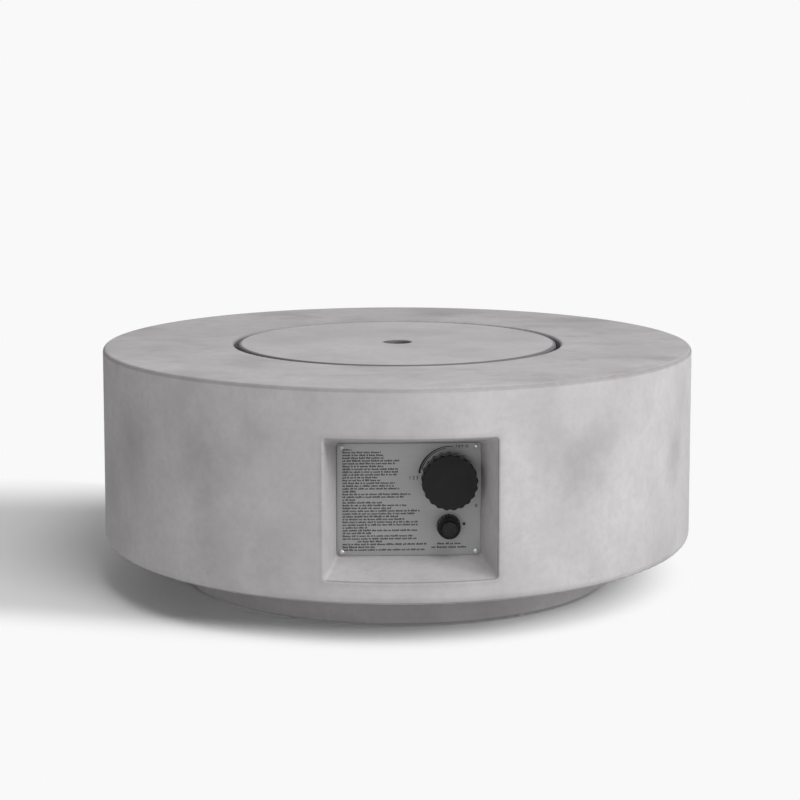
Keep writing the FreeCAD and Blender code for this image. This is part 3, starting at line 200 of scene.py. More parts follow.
def drum_darker(tree, place, patches):
    """Painted shade on the drum: darker on its rounded foot edge, along the edges of the niche's mouth
    and in a soft band round it, and in the corner of the lid's recess. It is also darker on its rounded
    top edge and in a few soft clouds, and the trowel left faint smears on the top."""
    x, y, z = add_node(tree, "SeparateXYZ", [place]).outputs
    radius = from_axis(tree, place)
    # The rounded top edge is darker, and the rounded foot edge more so, as painted shade under the
    # drum.
    top = mask(tree, (z, drum_top - 0.0085, drum_top - 0.0045),
               (z, drum_top - 0.0014, drum_top - 0.0003, 1.0, 0.0))
    foot = mask(tree, (z, drum_foot + 0.0025, drum_foot + 0.0060, 1.8, 0.0))
    rims = add_node(tree, "Math", (top, foot), operation="MAXIMUM")
    outer = mask(tree, (radius, drum_radius - 0.009, drum_radius - 0.006))
    rims = add_node(tree, "Math", (rims, outer), operation="MULTIPLY")

    # Painted shade along the edges of the niche's mouth.
    off_mouth = add_node(tree, "VectorMath", (place, mouth_middle), operation="SUBTRACT")
    off_mouth = add_node(tree, "VectorMath", [off_mouth], operation="ABSOLUTE")
    off_mouth = add_node(tree, "VectorMath", (off_mouth, mouth_half), operation="SUBTRACT")
    off_level = add_node(tree, "SeparateXYZ", [off_mouth]).outputs["Z"]
    left_jamb = -mouth_half[0]
    mouth = mask(tree, (radius, drum_radius - 0.0055, drum_radius - 0.0028),
                 (radius, drum_radius - 0.0018, drum_radius - 0.0006, 1.0, 0.0),
                 (off_level, 0.015, 0.016, 1.0, 0.0),
                 (x, left_jamb + 0.001, left_jamb + 0.006, 0.35, 1.5))
    edges = add_node(tree, "Math", (rims, mouth), operation="MAXIMUM")
    edges = add_node(tree, "Math", (edges, 0.36), operation="MULTIPLY")
    # Painted shade in the corner of the lid's recess.
    recess = mask(tree, (radius, lid_seat + 0.0015, lid_seat + 0.0045, 0.35, 0.0),
                  (z, drum_top - 0.030, drum_top - 0.020))
    edges = add_node(tree, "Math", (edges, recess), operation="MAXIMUM")

    # Painted shade in a soft band on the wall round the niche's mouth.
    beyond = add_node(tree, "VectorMath", (off_mouth, (0, 0, 0)), operation="MAXIMUM")
    beyond = add_node(tree, "VectorMath", [beyond], operation="LENGTH").outputs["Value"]
    band = mask(tree, (beyond, 0.002, 0.013, 0.13, 0.0),
                (radius, drum_radius - 0.0018, drum_radius - 0.0008), (y, -0.3, -0.2, 1.0, 0.0))
    smears = blots(tree, place, 62, stretch=(1.7, 1, 1), detail=3.0, roughness=0.55)
    smears = mask(tree, (smears, 0.47, 0.72, 0.0, 0.17), (z, drum_top - 0.0012, drum_top - 0.0004))
    soft = add_node(tree, "Math", (band, smears), operation="ADD")
    total = add_node(tree, "Math", (edges, soft), operation="MAXIMUM")
    # A few soft clouds where the drum is darker.
    for cloud_x, cloud_z, near, far, depth in dark_clouds:
        spot = (cloud_x, -math.sqrt(drum_radius ** 2 - cloud_x ** 2), cloud_z)
        away = add_node(tree, "VectorMath", (place, spot), operation="DISTANCE").outputs["Value"]
        ragged = add_node(tree, "Math", (patches, -0.09, away), operation="MULTIPLY_ADD")
        cloud = mask(tree, (ragged, near, far, depth, 0.0))
        total = add_node(tree, "Math", (total, cloud), operation="ADD")
    return total


pale_concrete = cast_concrete("glass_fibre_concrete_sealed", "#b6b3b5", "#aeabad", "#989597",
                              seed=3.1, darker=drum_darker)
finish_nodes(pale_concrete, "concrete_shell", "base_ring")


# The plinth: a narrower ring cast from a darker batch. Six zinc-plated bolts with washers hold it
# from below, in brass inserts that are set into the drum's ring.

def drawn_steel(name, bright, dull, roughness, tint=None):
    """Rolled or drawn steel: fine lines along X, smudges, and patches of a tint if it has one. The
    real lines are a tenth as wide, and are drawn coarser so that they show."""
    material, tree, shader, place = new_material(name, Metallic=1.0, Roughness=roughness)
    smudges = mask(tree, (blots(tree, place, 30, detail=4.0), 0.35, 0.7))
    colour = coats(tree, bright, (smudges, dull))
    if tint:
        tinted = mask(tree, (blots(tree, place, 45, detail=2.0), 0.4, 0.7, 0.0, 0.7))
        colour = coats(tree, colour, (tinted, tint))
    lines = blots(tree, place, 0.5, stretch=(30, 1, 1), detail=2.0)
    shine = mask(tree, (lines, 0.3, 0.7, roughness - 0.06, roughness + 0.08))
    fill_inputs(tree, shader, {"Base Color": colour, "Roughness": shine})
    relief(tree, shader, (lines, 0.02, 0.5))
    return material


def turned_metal(name, bright, dull):
    """Turned brass or drawn copper, left bare: dull where it has tarnished, with the tool's marks
    round it, drawn coarser than the real ones so that they show."""
    material, tree, shader, place = new_material(name, Metallic=1.0, Roughness=0.3)
    tarnish = mask(tree, (blots(tree, place, 12, detail=4.0), 0.4, 0.7))
    fill_inputs(tree, shader, {"Base Color": coats(tree, bright, (tarnish, dull)),
                               "Roughness": mask(tree, (tarnish, 0.0, 1.0, 0.24, 0.42))})
    relief(tree, shader, (blots(tree, place, 0.4, stretch=(20, 20, 1)), 0.02, 0.4))
    return material


dark_concrete = cast_concrete("glass_fibre_concrete_dark", "#b5b2b4", "#aeabad", "#999698", seed=7.4)
plated_steel = drawn_steel("steel_zinc_plated", "#c5c8cc", "#9fa4a8", roughness=0.3, tint="#b9b48e")
brass = turned_metal("brass_turned", "#d9b878", "#a8854e")
finish_nodes(dark_concrete, "plinth_ring")
finish_nodes(plated_steel, "plinth_bolts", "plinth_washers")
finish_nodes(brass, "threaded_inserts")


# The feet: six pads of moulded rubber, pressed into pockets under the plinth, of which a few
# millimetres stand out. They are painted a pale grey, painted light that keeps them from showing dark
# in the shade under the plinth.

def matt_rubber(name, deep, bloom):
    """Moulded or extruded rubber: matt and slightly rough, with a dusty bloom that lifts the
    colour a little in patches."""
    material, tree, shader, place = new_material(name, Roughness=0.82, Specular_IOR_Level=0.3)
    dusty = mask(tree, (blots(tree, place, 8), 0.4, 0.75))
    fill_inputs(tree, shader, {"Base Color": coats(tree, deep, (dusty, bloom))})
    relief(tree, shader, (blots(tree, place, 0.8), 0.08, 0.5))
    return material


# Pale grey as painted light, against the shade under the plinth.
foot_rubber = matt_rubber("rubber_moulded_grey", "#b0afb2", "#bebdc0")
finish_nodes(foot_rubber, "rubber_feet")


# The burner: a pan pressed from stainless sheet, which drops onto the ledge, and a ring bent from
# stainless tube, which heat has tinted straw in patches. A brass nipple and nut hold the ring.

pan_steel = drawn_steel("stainless_304_pressed", "#c3c1be", "#a3a19e", roughness=0.34)
ring_steel = drawn_steel("stainless_304_heat_tinted", "#bdb8b0", "#9a948c", roughness=0.3,
                         tint="#a88a5c")
finish_nodes(pan_steel, "burner_pan")
finish_nodes(ring_steel, "burner_ring")
finish_nodes(brass, "burner_nipple", "pan_lock_nut")


# The gas way under the pan: a die-cast air mixer, a brass jet screwed into it, and a hose of
# extruded black rubber that runs to the valve, with a brass nut at each end.

def die_cast(name, bright, dull):
    """Die-cast zinc or aluminium, left as cast: satin, cloudy, and with a slightly grainy skin."""
    material, tree, shader, place = new_material(name, Metallic=1.0, Roughness=0.48)
    skin = blots(tree, place, 3, detail=4.0)
    fill_inputs(tree, shader, {"Base Color": coats(tree, bright, (mask(tree, (skin, 0.35, 0.7)), dull)),
                               "Roughness": mask(tree, (skin, 0.3, 0.7, 0.4, 0.56))})
    relief(tree, shader, (blots(tree, place, 0.7), 0.08, 0.5))
    return material


cast_metal = die_cast("zinc_aluminium_die_cast", "#b9babc", "#8f9092")
hose_rubber = matt_rubber("nitrile_rubber_extruded", "#1b1b1c", "#2a2a2b")
finish_nodes(cast_metal, "air_mixer")
finish_nodes(brass, "gas_jet", "hose_nuts")
finish_nodes(hose_rubber, "burner_hose")


# The electrode and the flame probe: screwed to a bent stainless bracket beside the ring. The
# electrode's rod runs in a tube of white unglazed alumina, slightly sooty, and its lead is cased
# in rubber. The probe and its thin lead are copper.

alumina, tree, shader, place = new_material("alumina_unglazed", Roughness=0.55, Specular_IOR_Level=0.45)
sooty = mask(tree, (blots(tree, place, 6), 0.45, 0.75, 0.0, 0.4))
fill_inputs(tree, shader, {"Base Color": coats(tree, "#ece8e0", (sooty, "#a59f96"))})
relief(tree, shader, (blots(tree, place, 0.6), 0.03, 0.4))
copper = turned_metal("copper_drawn", "#d59a74", "#a36a4a")
finish_nodes(pan_steel, "electrode_bracket")
finish_nodes(plated_steel, "bracket_screws")
finish_nodes(alumina, "electrode_ceramic")
finish_nodes(ring_steel, "electrode_rod")
finish_nodes(copper, "thermocouple_probe", "thermocouple_lead")
finish_nodes(hose_rubber, "spark_lead")


# The control plate: 2 mm stainless sheet with rounded corners, held in the back of the niche by
# four screws. It is brushed from side to side, which makes it satin, and its lines are drawn
# coarser than the real ones so that they show.

brushed_sheet, tree, shader, place = new_material("stainless_430_brushed", Metallic=0.45, Roughness=0.5)
brushing = blots(tree, place, 0.55, stretch=(60, 1, 1), detail=2.0)
broad = blots(tree, place, 60, stretch=(2.5, 1, 1), detail=2.0)
sheet_colour = coats(tree, "#939393", (mask(tree, (brushing, 0.3, 0.7)), "#9a9a9a"),
                     (mask(tree, (broad, 0.4, 0.7, 0.0, 0.5)), "#8e8e8e"))
fill_inputs(tree, shader, {"Base Color": sheet_colour,
                           "Roughness": mask(tree, (brushing, 0.3, 0.7, 0.45, 0.55))})
relief(tree, shader, (brushing, 0.015, 0.5))
finish_nodes(brushed_sheet, "control_plate")


# The plate's print: screened matt black ink. It holds rows of plain bars, a scale that swells
# round the knob, and plain numbers.

def place_piece(name, mesh, body):
    """Put a finished mesh in the scene, riding on a body."""
    piece = bpy.data.objects.new(name, mesh)
    bpy.context.scene.collection.objects.link(piece)
    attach(piece, body)
    return piece


def new_piece(name, points, faces, material, body, smooth=False):
    """A mesh piece from arrays of points in metres and of faces, riding on a body. Points that
    meet within a micrometre are merged, so its poles and seams close, and its faces are turned
    outwards."""
    mesh = bpy.data.meshes.new(name)
    mesh.from_pydata(np.asarray(points).tolist(), [], np.asarray(faces).tolist())
    welded = bmesh.new()
    welded.from_mesh(mesh)
    bmesh.ops.remove_doubles(welded, verts=welded.verts, dist=1e-6)
    bmesh.ops.recalc_face_normals(welded, faces=welded.faces)
    welded.to_mesh(mesh)
    welded.free()
    mesh.polygons.foreach_set("use_smooth", [smooth] * len(mesh.polygons))
    mesh.materials.append(material)
    return place_piece(name, mesh, body)


def ink_blocks(left, right, low, high):
    """Points and faces of flat blocks of ink on the plate: each block is the box from left to
    right and low to high, and from the plate's front out by the ink's thickness."""
    x = np.stack([left, right, right, left] * 2, axis=1)
    z = np.stack([low, low, high, high] * 2, axis=1)
    y = np.broadcast_to(np.array([plate_front] * 4 + [plate_front - ink_thick] * 4), x.shape)
    points = np.stack([x, y, z], axis=2).reshape(-1, 3)
    sides = np.array([[4, 5, 6, 7], [0, 3, 2, 1], [0, 1, 5, 4], [1, 2, 6, 5], [2, 3, 7, 6],
                      [3, 0, 4, 7]])
    faces = (sides[None] + 8 * np.arange(len(left))[:, None, None]).reshape(-1, 4)
    return points, faces


plate_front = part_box("control_plate")[0][1]
ink_thick = 0.00006
ink, tree, shader, place = new_material("screen_ink_black", Roughness=0.6, Specular_IOR_Level=0.3)
worn_ink = mask(tree, (blots(tree, place, 4), 0.4, 0.8, 0.0, 0.5))
fill_inputs(tree, shader, {"Base Color": coats(tree, "#181818", (worn_ink, "#2c2c2c"))})


# A letter is given by its height and its width. Each row of the caption under the igniter is given
# by its level and its half length.
row_left, row_top, row_pitch = -0.107, 0.3055, 0.00456
row_letter = (0.0022, 0.0013)
row_lengths_mm = [15, 62, 68, 65, 91, 86, 65, 91, 88, 90, 57, 60, 84, 82, 93, 22, 109, 98, 19, 63, 103,
                  81, 123, 119, 90, 99, 120, 120, 38, 119, 45, 116, 121, 66, 135, 51, 132]
indented_row, indent = 33, 0.024
caption_middle, caption_letter = 0.064, (0.0024, 0.0019)
caption_rows = [(0.1506, 0.0185), (0.1448, 0.0275)]
random = np.random.default_rng(4)


def printed_row(start, end, low, letter):
    """Blocks of letter size in words of two to eight, from start to end: left, right, low, high.
    Their widths vary, one in three is taller, and gaps are a share of a letter's width."""
    tall, wide = letter
    blocks = []
    while start < end - wide:
        for _ in range(random.integers(2, 9)):
            width = wide * random.uniform(0.8, 1.15)
            height = tall * random.choice([1.0, 1.0, 1.4])
            if start < end:
                blocks.append((start, start + width, low, low + height))
            start += width + 0.3 * wide
        start += 1.1 * wide
    return blocks


blocks = []
for row, length_mm in enumerate(row_lengths_mm):
    start = row_left + (indent if row == indented_row else 0.0)
    blocks += printed_row(start, row_left + length_mm / 1000, row_top - row * row_pitch, row_letter)
for low, half in caption_rows:
    blocks += printed_row(caption_middle - half, caption_middle + half, low, caption_letter)
points, faces = ink_blocks(*np.array(blocks).T)
new_piece("plate_print_rows", points, faces, ink, "table")


def swelling_band(start, end, radii, widths, centre, steps=60):
    """A flat band facing -Y that winds out round a centre: its radius and its width both change
    evenly with the turn, from start to end in degrees. A band that doesn't close on itself gets
    a face across each end."""
    turn = np.radians(np.linspace(start, end, steps))
    middle = np.linspace(*radii, steps)
    half = np.linspace(*widths, steps) / 2
    rings = [(r * np.cos(turn) + centre[0], np.full(steps, y), r * np.sin(turn) + centre[1])
             for y in (plate_front - ink_thick, plate_front) for r in (middle - half, middle + half)]
    points = np.stack([np.stack(ring, axis=1) for ring in rings]).reshape(-1, 3)
    k = np.arange(steps - 1)
    quads = [(0, 1), (3, 2), (2, 0), (1, 3)]
    faces = [np.stack([a * steps + k, a * steps + k + 1, b * steps + k + 1, b * steps + k], axis=1)
             for a, b in quads]
    if abs(end - start) < 360:
        faces.append(np.array([(0, 1, 3, 2)]) * steps + np.array([[0], [steps - 1]]))
    return points, np.concatenate(faces)


knob_centre = (0.064, 0.259)
for name, *band in (
        ("plate_print_scale", 167, 82, (0.0485, 0.0524), (0.0034, 0.0009), knob_centre),
        ("plate_print_inner_scale", 162, 96, (0.0457, 0.0492), (0.0018, 0.0009), knob_centre),
        ("plate_print_start_dot", 0, 360, (0.00095, 0.00095), (0.0019, 0.0019), (0.0172, 0.2692), 24),
        ("plate_print_push_dot", 0, 360, (0.00125, 0.00125), (0.0025, 0.0025), (0.089, 0.1842), 24)):
    points, faces = swelling_band(*band)
    new_piece(name, points, faces, ink, "table")


def printed_number(name, numbers, x, z, tall, bolder=0.017):
    """Plain numbers laid flat on the plate as a thin mesh, centred on x, with their foot at z and
    their strokes made bolder by a share of their height."""
    curve = bpy.data.curves.new(name, "FONT")
    curve.body = numbers
    curve.size = tall
    curve.align_x = "CENTER"
    curve.extrude = ink_thick / 2
    curve.offset = bolder * tall
    text = bpy.data.objects.new(name, curve)
    bpy.context.scene.collection.objects.link(text)
    bpy.context.view_layer.update()
    mesh = bpy.data.meshes.new_from_object(text)
    bpy.data.objects.remove(text)
    flat = np.empty(len(mesh.vertices) * 3)
    mesh.vertices.foreach_get("co", flat)
    flat = flat.reshape(-1, 3)
    middle = plate_front - ink_thick / 2
    placed = np.stack([flat[:, 0] + x, middle - flat[:, 2], flat[:, 1] + z], axis=1)
    mesh.vertices.foreach_set("co", placed.ravel())
    mesh.materials.clear()
    mesh.materials.append(ink)
    mesh.update()
    return place_piece(name, mesh, "table")


printed_number("plate_number_low", "1 2 3", x=0.0075, z=0.2578, tall=0.0075)
printed_number("plate_number_off", "0", x=0.1085, z=0.2115, tall=0.0075)
printed_number("plate_number_high", "7 8 9 10", x=0.085, z=0.3092, tall=0.0062)


# The plate's screws: four of stainless steel with round heads, cold-headed with a cross for the
# driver. They pass through the plate's corners into the back of the niche.

def grid_faces(rings, turns, closed=False):
    """Faces between neighbouring rings of points, each ring closed on itself, and where closed is
    true between the last ring and the first as well."""
    ring, step = np.meshgrid(np.arange(rings if closed else rings - 1), np.arange(turns), indexing="ij")
    ring_after, step_after = (ring + 1) % rings, (step + 1) % turns
    return np.stack([ring * turns + step, ring * turns + step_after, ring_after * turns + step_after,
                     ring_after * turns + step], axis=2).reshape(-1, 4)


def screw(centre, head_radius, head_high, shank_radius, long, rings=40, turns=72):
    """A round-headed screw that points to +Y: a profile from the middle of the head out, down
    its rim and along the shank to the tip, turned round. Where |x| or |z| is under the arm's
    half width, the dome is sunk into a cross, whose sides rise over the next half of that."""
    quarter = np.linspace(0, np.pi / 2, rings)
    dome = np.stack([head_radius * np.sin(quarter), -head_high * np.cos(quarter) ** 0.8], axis=1)
    rest = [(shank_radius, 0.0), (shank_radius, long - shank_radius), (0.0, long)]
    profile = np.concatenate([dome, rest])
    turn = np.linspace(0, 2 * np.pi, turns, endpoint=False)
    radius, along = profile[:, :1], profile[:, 1:]
    x, z, y = radius * np.cos(turn), radius * np.sin(turn), along + 0 * turn
    arm, reach, sunk = 0.13 * head_radius, 0.62 * head_radius, 0.55 * head_high
    across = np.minimum(np.abs(x), np.abs(z))
    inside = np.clip((1.5 * arm - across) / (0.5 * arm), 0, 1)
    inside = inside * np.clip((reach - np.hypot(x, z)) / arm, 0, 1)
    y = y + np.where(y < -0.02 * head_high, sunk * inside, 0)
    points = np.stack([x + centre[0], y + centre[1], z + centre[2]], axis=2).reshape(-1, 3)
    return points, grid_faces(len(profile), turns)


screws_low, screws_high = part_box("plate_screws")
head_radius, shank_radius = 0.004, 0.002
head_high = plate_front - screws_low[1]
shank_long = screws_high[1] - plate_front
spots = [(x, plate_front, z) for x in (screws_low[0] + head_radius, screws_high[0] - head_radius)
         for z in (screws_low[2] + head_radius, screws_high[2] - head_radius)]
meshes = [screw(spot, head_radius, head_high, shank_radius, shank_long) for spot in spots]
starts = np.cumsum([0] + [len(points) for points, faces in meshes[:-1]])
points = np.concatenate([points for points, faces in meshes])
faces = np.concatenate([faces + start for (_, faces), start in zip(meshes, starts)])
screws_steel = drawn_steel("stainless_a2_cold_headed", "#d2d2d0", "#b6b6b4", roughness=0.29)
screws = new_piece("plate_screws_crossed", points, faces, screws_steel, "table",
                   smooth=True)
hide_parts("plate_screws")


# The valve: a die-cast body and bonnet held together by two screws, with a brass stem, plunger and
# fittings. Its spring is hard-drawn round wire, coiled and left bright.

def wire_coil(centre, radius, wire, turns, near, far, around=12, steps=40):
    """Round wire along a helix about an axis along Y: at a share s of its length it has turned
    by 2 pi turns s and come that share of the way from near to far, and the wire's circle stands
    across the radius. The ring at each end is drawn to its middle, which closes the wire."""
    share = np.linspace(0, 1, turns * steps + 1)
    share = np.concatenate([share[:1], share, share[-1:]])[:, None]
    thick = np.full_like(share, wire)
    thick[[0, -1]] = 0.0
    turn = 2 * np.pi * turns * share
    circle = np.linspace(0, 2 * np.pi, around, endpoint=False)
    out = radius + thick * np.cos(circle)
    y = near + wire + (far - near - 2 * wire) * share + thick * np.sin(circle)
    points = np.stack([centre[0] + out * np.cos(turn), y, centre[1] + out * np.sin(turn)], axis=2)
    return points.reshape(-1, 3), grid_faces(len(share), around)


def return_spring(name, node, centre, radius, wire, turns):
    """A coil that stands for a spring's node, from its near end to its far end, with a mesh of its own.
    """
    near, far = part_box(node)[0][1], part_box(node)[1][1]
    points, faces = wire_coil(centre, radius, wire, turns, near, far)
    coil = new_piece(name, points, faces, bright_steel, "table", smooth=True)
    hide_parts(node)
    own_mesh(coil)


finish_nodes(cast_metal, "valve_body", "valve_bonnet")
finish_nodes(plated_steel, "valve_screws")
finish_nodes(brass, "valve_stem", "valve_plunger", "outlet_fitting", "inlet_fitting",
             "thermocouple_nut")
bright_steel = drawn_steel("steel_bright", "#d2d3d4", "#b4b5b7", roughness=0.2)
return_spring("knob_return_spring", "valve_spring", knob_centre, radius=0.0054, wire=0.0006,
              turns=6)


# The gas knob: black glass-filled nylon, moulded hollow with 21 lobes for the hand. Its flat face has
# the fine grain of the mould, and the upper part of its lobed side is painted a lighter grey, as
# painted light from above, and made smoother.

def moulded_plastic(name, base, cloudy, roughness, grain_mm, painted_light=None):
    """Moulded plastic, satin and slightly cloudy, with the mould's grain, drawn coarser than the real
    one so that it shows. The optional function from tree and place gives a mask of 0 to 1, where the
    colour is painted a lighter grey as painted light and the surface is made smoother."""
    material, tree, shader, place = new_material(name, Roughness=roughness, Specular_IOR_Level=0.16)
    broad = blots(tree, place, 25, detail=2.0)
    colour = coats(tree, base, (mask(tree, (broad, 0.4, 0.7)), cloudy))
    satin = mask(tree, (broad, 0.3, 0.7, roughness - 0.05, roughness + 0.07))
    # Painted light: a lighter grey and a smoother surface where the mask says.
    if painted_light:
        shine = painted_light(tree, place)
        colour = coats(tree, colour, (shine, "#4c4c4c"))
        satin = add_node(tree, "Math", (shine, -0.3, satin), operation="MULTIPLY_ADD")
    fill_inputs(tree, shader, {"Base Color": colour, "Roughness": satin})
    relief(tree, shader, (blots(tree, place, grain_mm, detail=2.0), 0.05, 0.6))
    return material


knob_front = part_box("control_knob")[0][1]


def painted_light_knob_top(tree, place):
    """The upper part of the knob's side, from a few millimetres behind its face: painted light from
    above.
    """
    x, y, z = add_node(tree, "SeparateXYZ", [place]).outputs
    return mask(tree, (y, knob_front + 0.005, knob_front + 0.009),
                (z, knob_centre[1] + 0.005, knob_centre[1] + 0.030))


knob_plastic = moulded_plastic("nylon_glass_filled_moulded", "#161616", "#1b1b1b", roughness=0.55,
                               grain_mm=0.9, painted_light=painted_light_knob_top)
finish_nodes(knob_plastic, "control_knob")


# The igniter: a black moulded housing held by a ring nut, with a ribbed collar in front, its push
# button and spring, and an AA cell in a plain sleeve with bright steel blades behind.

def ribbed_sleeve(centre, near, far, near_radius, far_radius, rib_high, ribs, sunk=0.0002,
                  wall=0.0006, levels=9, turns_per_rib=12):
    """A thin tapered sleeve along Y whose outside rises in rounded ribs: the radius runs evenly
    from near to far, a little sunk, and a rib adds up to its height times a raised cosine of the
    turn to the power of 1.5. The ribs run out over a sixth of the length at each end, and the
    inside is plain, one wall further in."""
    turn = np.linspace(0, 2 * np.pi, turns_per_rib * ribs, endpoint=False)
    share = np.linspace(0, 1, levels)
    share = np.concatenate([share, share[::-1]])[:, None]
    outside = np.repeat([1.0, 0.0], levels)[:, None]
    ends = np.clip(np.minimum(share, 1 - share) * 6, 0, 1)
    wave = (0.5 + 0.5 * np.cos(ribs * turn)) ** 1.5
    radius = near_radius + (far_radius - near_radius) * share - sunk
    radius = radius + outside * rib_high * wave * ends - (1 - outside) * wall
    y = near + (far - near) * share + 0 * turn
    points = np.stack([radius * np.cos(turn) + centre[0], y, radius * np.sin(turn) + centre[1]], axis=2)
    return points.reshape(-1, 3), grid_faces(len(share), len(turn), closed=True)


igniter_centre = (0.064, 0.181)
collar_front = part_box("igniter_housing")[0][1]
collar_lip = 0.0013
rib_count = 22


def painted_light_rib_crests(tree, place):
    """The crests of the collar's ribs, most on its upper side: painted highlights, as light from above
    falls on them.
    """
    centre = (igniter_centre[0], 0, igniter_centre[1])
    placed = add_node(tree, "VectorMath", (place, centre), operation="SUBTRACT")
    x, y, z = add_node(tree, "SeparateXYZ", [placed]).outputs
    turn = add_node(tree, "Math", (z, x), operation="ARCTAN2")
    turn = add_node(tree, "Math", (turn, rib_count), operation="MULTIPLY")
    crest = add_node(tree, "Math", [turn], operation="COSINE")
    return mask(tree, (crest, -0.2, 0.8), (z, -0.004, 0.014))


igniter_plastic = moulded_plastic("nylon_moulded_satin", "#131313", "#181818", roughness=0.5,
                                  grain_mm=1.2)
ribbed_plastic = moulded_plastic("nylon_moulded_ribbed", "#0f0f0f", "#131313", roughness=0.5,
                                 grain_mm=1.2, painted_light=painted_light_rib_crests)
button_plastic = moulded_plastic("acetal_moulded_smooth", "#1a1a1a", "#202020", roughness=0.42,
                                 grain_mm=2.0)
cell_sleeve = moulded_plastic("shrink_sleeve_on_steel_can", "#33343a", "#3c3d44", roughness=0.28,
                              grain_mm=3.0)
finish_nodes(igniter_plastic, "igniter_housing", "igniter_nut")
finish_nodes(button_plastic, "igniter_button")
finish_nodes(cell_sleeve, "igniter_battery")
finish_nodes(bright_steel, "igniter_terminals")
points, faces = ribbed_sleeve(igniter_centre, plate_front, collar_front + collar_lip,
                              near_radius=0.01925, far_radius=0.01785, rib_high=0.0010,
                              ribs=rib_count)
new_piece("igniter_collar_ribs", points, faces, ribbed_plastic, "table", smooth=True)
return_spring("button_return_spring", "button_spring", igniter_centre, radius=0.0052, wire=0.0005,
              turns=4)


# The lid: a cast disc of the drum's mix, hollowed underneath, with a finger hole and six black
# rubber pads. It comes from a mould of its own, so its clouds don't run on from the drum's.

finger_hole = 0.025


def lid_darker(tree, place, patches):
    """Painted shade on the lid's rounded rim beside the gap round it, and on the wall of the finger
    hole."""
    radius = from_axis(tree, place)
    # Painted shade on the rim and in the finger hole.
    rim = mask(tree, (radius, lid_radius - 0.0080, lid_radius - 0.0020, 0.0, 0.9))
    hole = mask(tree, (radius, finger_hole + 0.0008, finger_hole + 0.0030, 0.9, 0.0))
    return add_node(tree, "Math", (rim, hole), operation="MAXIMUM")


lid_concrete = cast_concrete("glass_fibre_concrete_lid", "#bab7b9", "#b3b0b2", "#a09d9f",
                             seed=11.7, darker=lid_darker)
pad_rubber = matt_rubber("nitrile_rubber_moulded", "#1d1d1e", "#2c2c2d")
finish_nodes(lid_concrete, "lid")
finish_nodes(pad_rubber, "lid_bumpers")


# The room: a white floor that runs into a white backdrop, and keeps the object's shadow, which
# falls to the left. The light is soft: a key from high in front, fill low on the right, and pale
# light from all round.

floor_half = 30.0
shadow_way, shadow_long = (-0.958, 0.287, 0.0), 0.9
plinth_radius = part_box("plinth_ring")[1][0]
floor_paint, tree, shader, place = new_material("painted_board_white", Roughness=0.9,
                                                Specular_IOR_Level=0.1)
fill_inputs(tree, shader, {"Base Color": "#f3f4f3"})
along = add_node(tree, "VectorMath", (place, shadow_way), operation="DOT_PRODUCT").outputs["Value"]
along = add_node(tree, "Clamp", (along, 0.02, shadow_long))
middle = add_node(tree, "VectorMath", {0: shadow_way, "Scale": along}, operation="SCALE")
reach = add_node(tree, "VectorMath", (place, middle), operation="DISTANCE").outputs["Value"]
back = add_node(tree, "SeparateXYZ", [place]).outputs["Y"]
seen = add_node(tree, "LightPath").outputs["Is Camera Ray"]
clear = (mask(tree, (reach, 0.40, 0.56)), mask(tree, (back, 0.45, 0.85)))
clear = add_node(tree, "Math", clear, operation="MAXIMUM")
clear = add_node(tree, "Math", (clear, seen), operation="MULTIPLY")
glow = add_node(tree, "Emission", {"Color": "#f9f9f9", "Strength": 1.0})
mixed = add_node(tree, "MixShader", (clear, shader, glow))
# Near the front of the plinth's edge the floor glows a mid grey to camera rays: painted light that
# lifts the dark gap under the plinth.
from_middle = add_node(tree, "VectorMath", [place], operation="LENGTH").outputs["Value"]
under = mask(tree, (from_middle, plinth_radius - 0.004, plinth_radius, 0.6, 0.0),
             (back, -0.25, -0.15, 1.0, 0.0))
under = add_node(tree, "Math", (under, seen), operation="MULTIPLY")
painted_gap_light = add_node(tree, "Emission", {"Color": "#747476", "Strength": 1.0})
mixed = add_node(tree, "MixShader", (under, mixed, painted_gap_light))
fill_inputs(tree, tree.nodes["Material Output"], {"Surface": mixed})

floor_mesh = bpy.data.meshes.new("floor")
corners = [(-1, -1, 0), (1, -1, 0), (1, 1, 0), (-1, 1, 0)]
floor_mesh.from_pydata((floor_half * np.array(corners)).tolist(), [], [(0, 1, 2, 3)])
floor_mesh.materials.append(floor_paint)
floor = bpy.data.objects.new("floor", floor_mesh)
bpy.context.scene.collection.objects.link(floor)

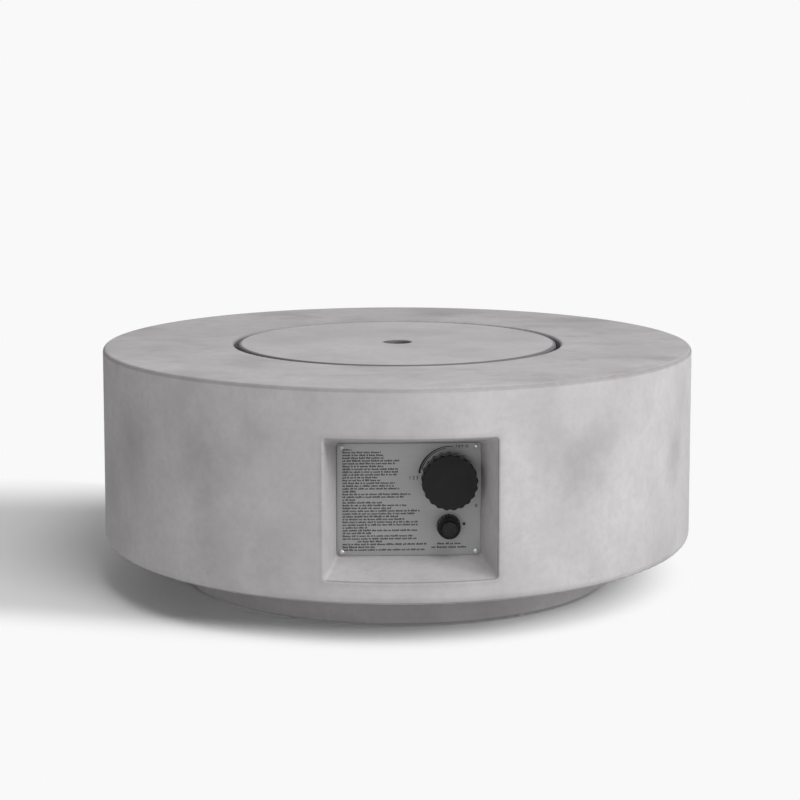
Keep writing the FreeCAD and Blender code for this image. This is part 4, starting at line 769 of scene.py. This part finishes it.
world = bpy.data.worlds.new("white_room")
world.use_nodes = True
tree = world.node_tree
path = add_node(tree, "LightPath").outputs
seen = add_node(tree, "Math", (path["Is Camera Ray"], path["Is Glossy Ray"]), operation="MAXIMUM")
seen = add_node(tree, "Math", (seen, path["Is Transmission Ray"]), operation="MAXIMUM")
room_light = add_node(tree, "Background", {"Color": "#ffffff", "Strength": 0.14})
room_seen = add_node(tree, "Background", {"Color": "#f9f9f9", "Strength": 1.0})
mixed = add_node(tree, "MixShader", (seen, room_light, room_seen))
fill_inputs(tree, tree.nodes["World Output"], {"Surface": mixed})
bpy.context.scene.world = world


def softbox(name, azimuth, elevation, wide, high, watts):
    """A rectangular lamp that faces the drum. Azimuth 0 is in front of the niche, and it grows
    to the right."""
    lamp = bpy.data.lights.new(name, "AREA")
    lamp.shape = "RECTANGLE"
    lamp.size = wide
    lamp.size_y = high
    lamp.energy = watts
    box = bpy.data.objects.new(name, lamp)
    turn, rise = math.radians(azimuth), math.radians(elevation)
    box.location = (lamp_distance * math.sin(turn) * math.cos(rise),
                    -lamp_distance * math.cos(turn) * math.cos(rise),
                    drum_middle + lamp_distance * math.sin(rise))
    box.rotation_euler = (math.radians(90) - rise, 0, turn)
    bpy.context.scene.collection.objects.link(box)


lamp_distance, drum_middle = 4.0, 0.25
softbox("front_high", 20, 55, 2.0, 2.0, 82)
softbox("right_low", 60, 20, 1.5, 1.5, 74)
softbox("right_high", 75, 40, 2.0, 2.0, 26)
softbox("front_left_low", -30, 10, 2.0, 1.0, 22)
softbox("overhead", 0, 85, 3.0, 3.0, 14)
softbox("back_left_low", -160, 14, 2.5, 1.0, 18)


# The camera stands a little left of the niche, above the height of the table, and looks slightly
# down. Its long lens keeps the drum's sides nearly upright.

camera_distance, camera_height = 3.3907, 0.8891
camera_turn, camera_pitch = math.radians(-2.444), math.radians(5.986)
lens = bpy.data.cameras.new("camera")
lens.sensor_width = 36.0
lens.lens = 83.93
lens.shift_x = 0.0035
lens.shift_y = -0.15
camera = bpy.data.objects.new("camera", lens)
camera.location = (camera_distance * math.sin(camera_turn), -camera_distance * math.cos(camera_turn),
                   camera_height)
camera.rotation_euler = (math.radians(90) - camera_pitch, 0, camera_turn)
bpy.context.scene.collection.objects.link(camera)
bpy.context.scene.camera = camera
bpy.context.scene.view_settings.view_transform = "Standard"
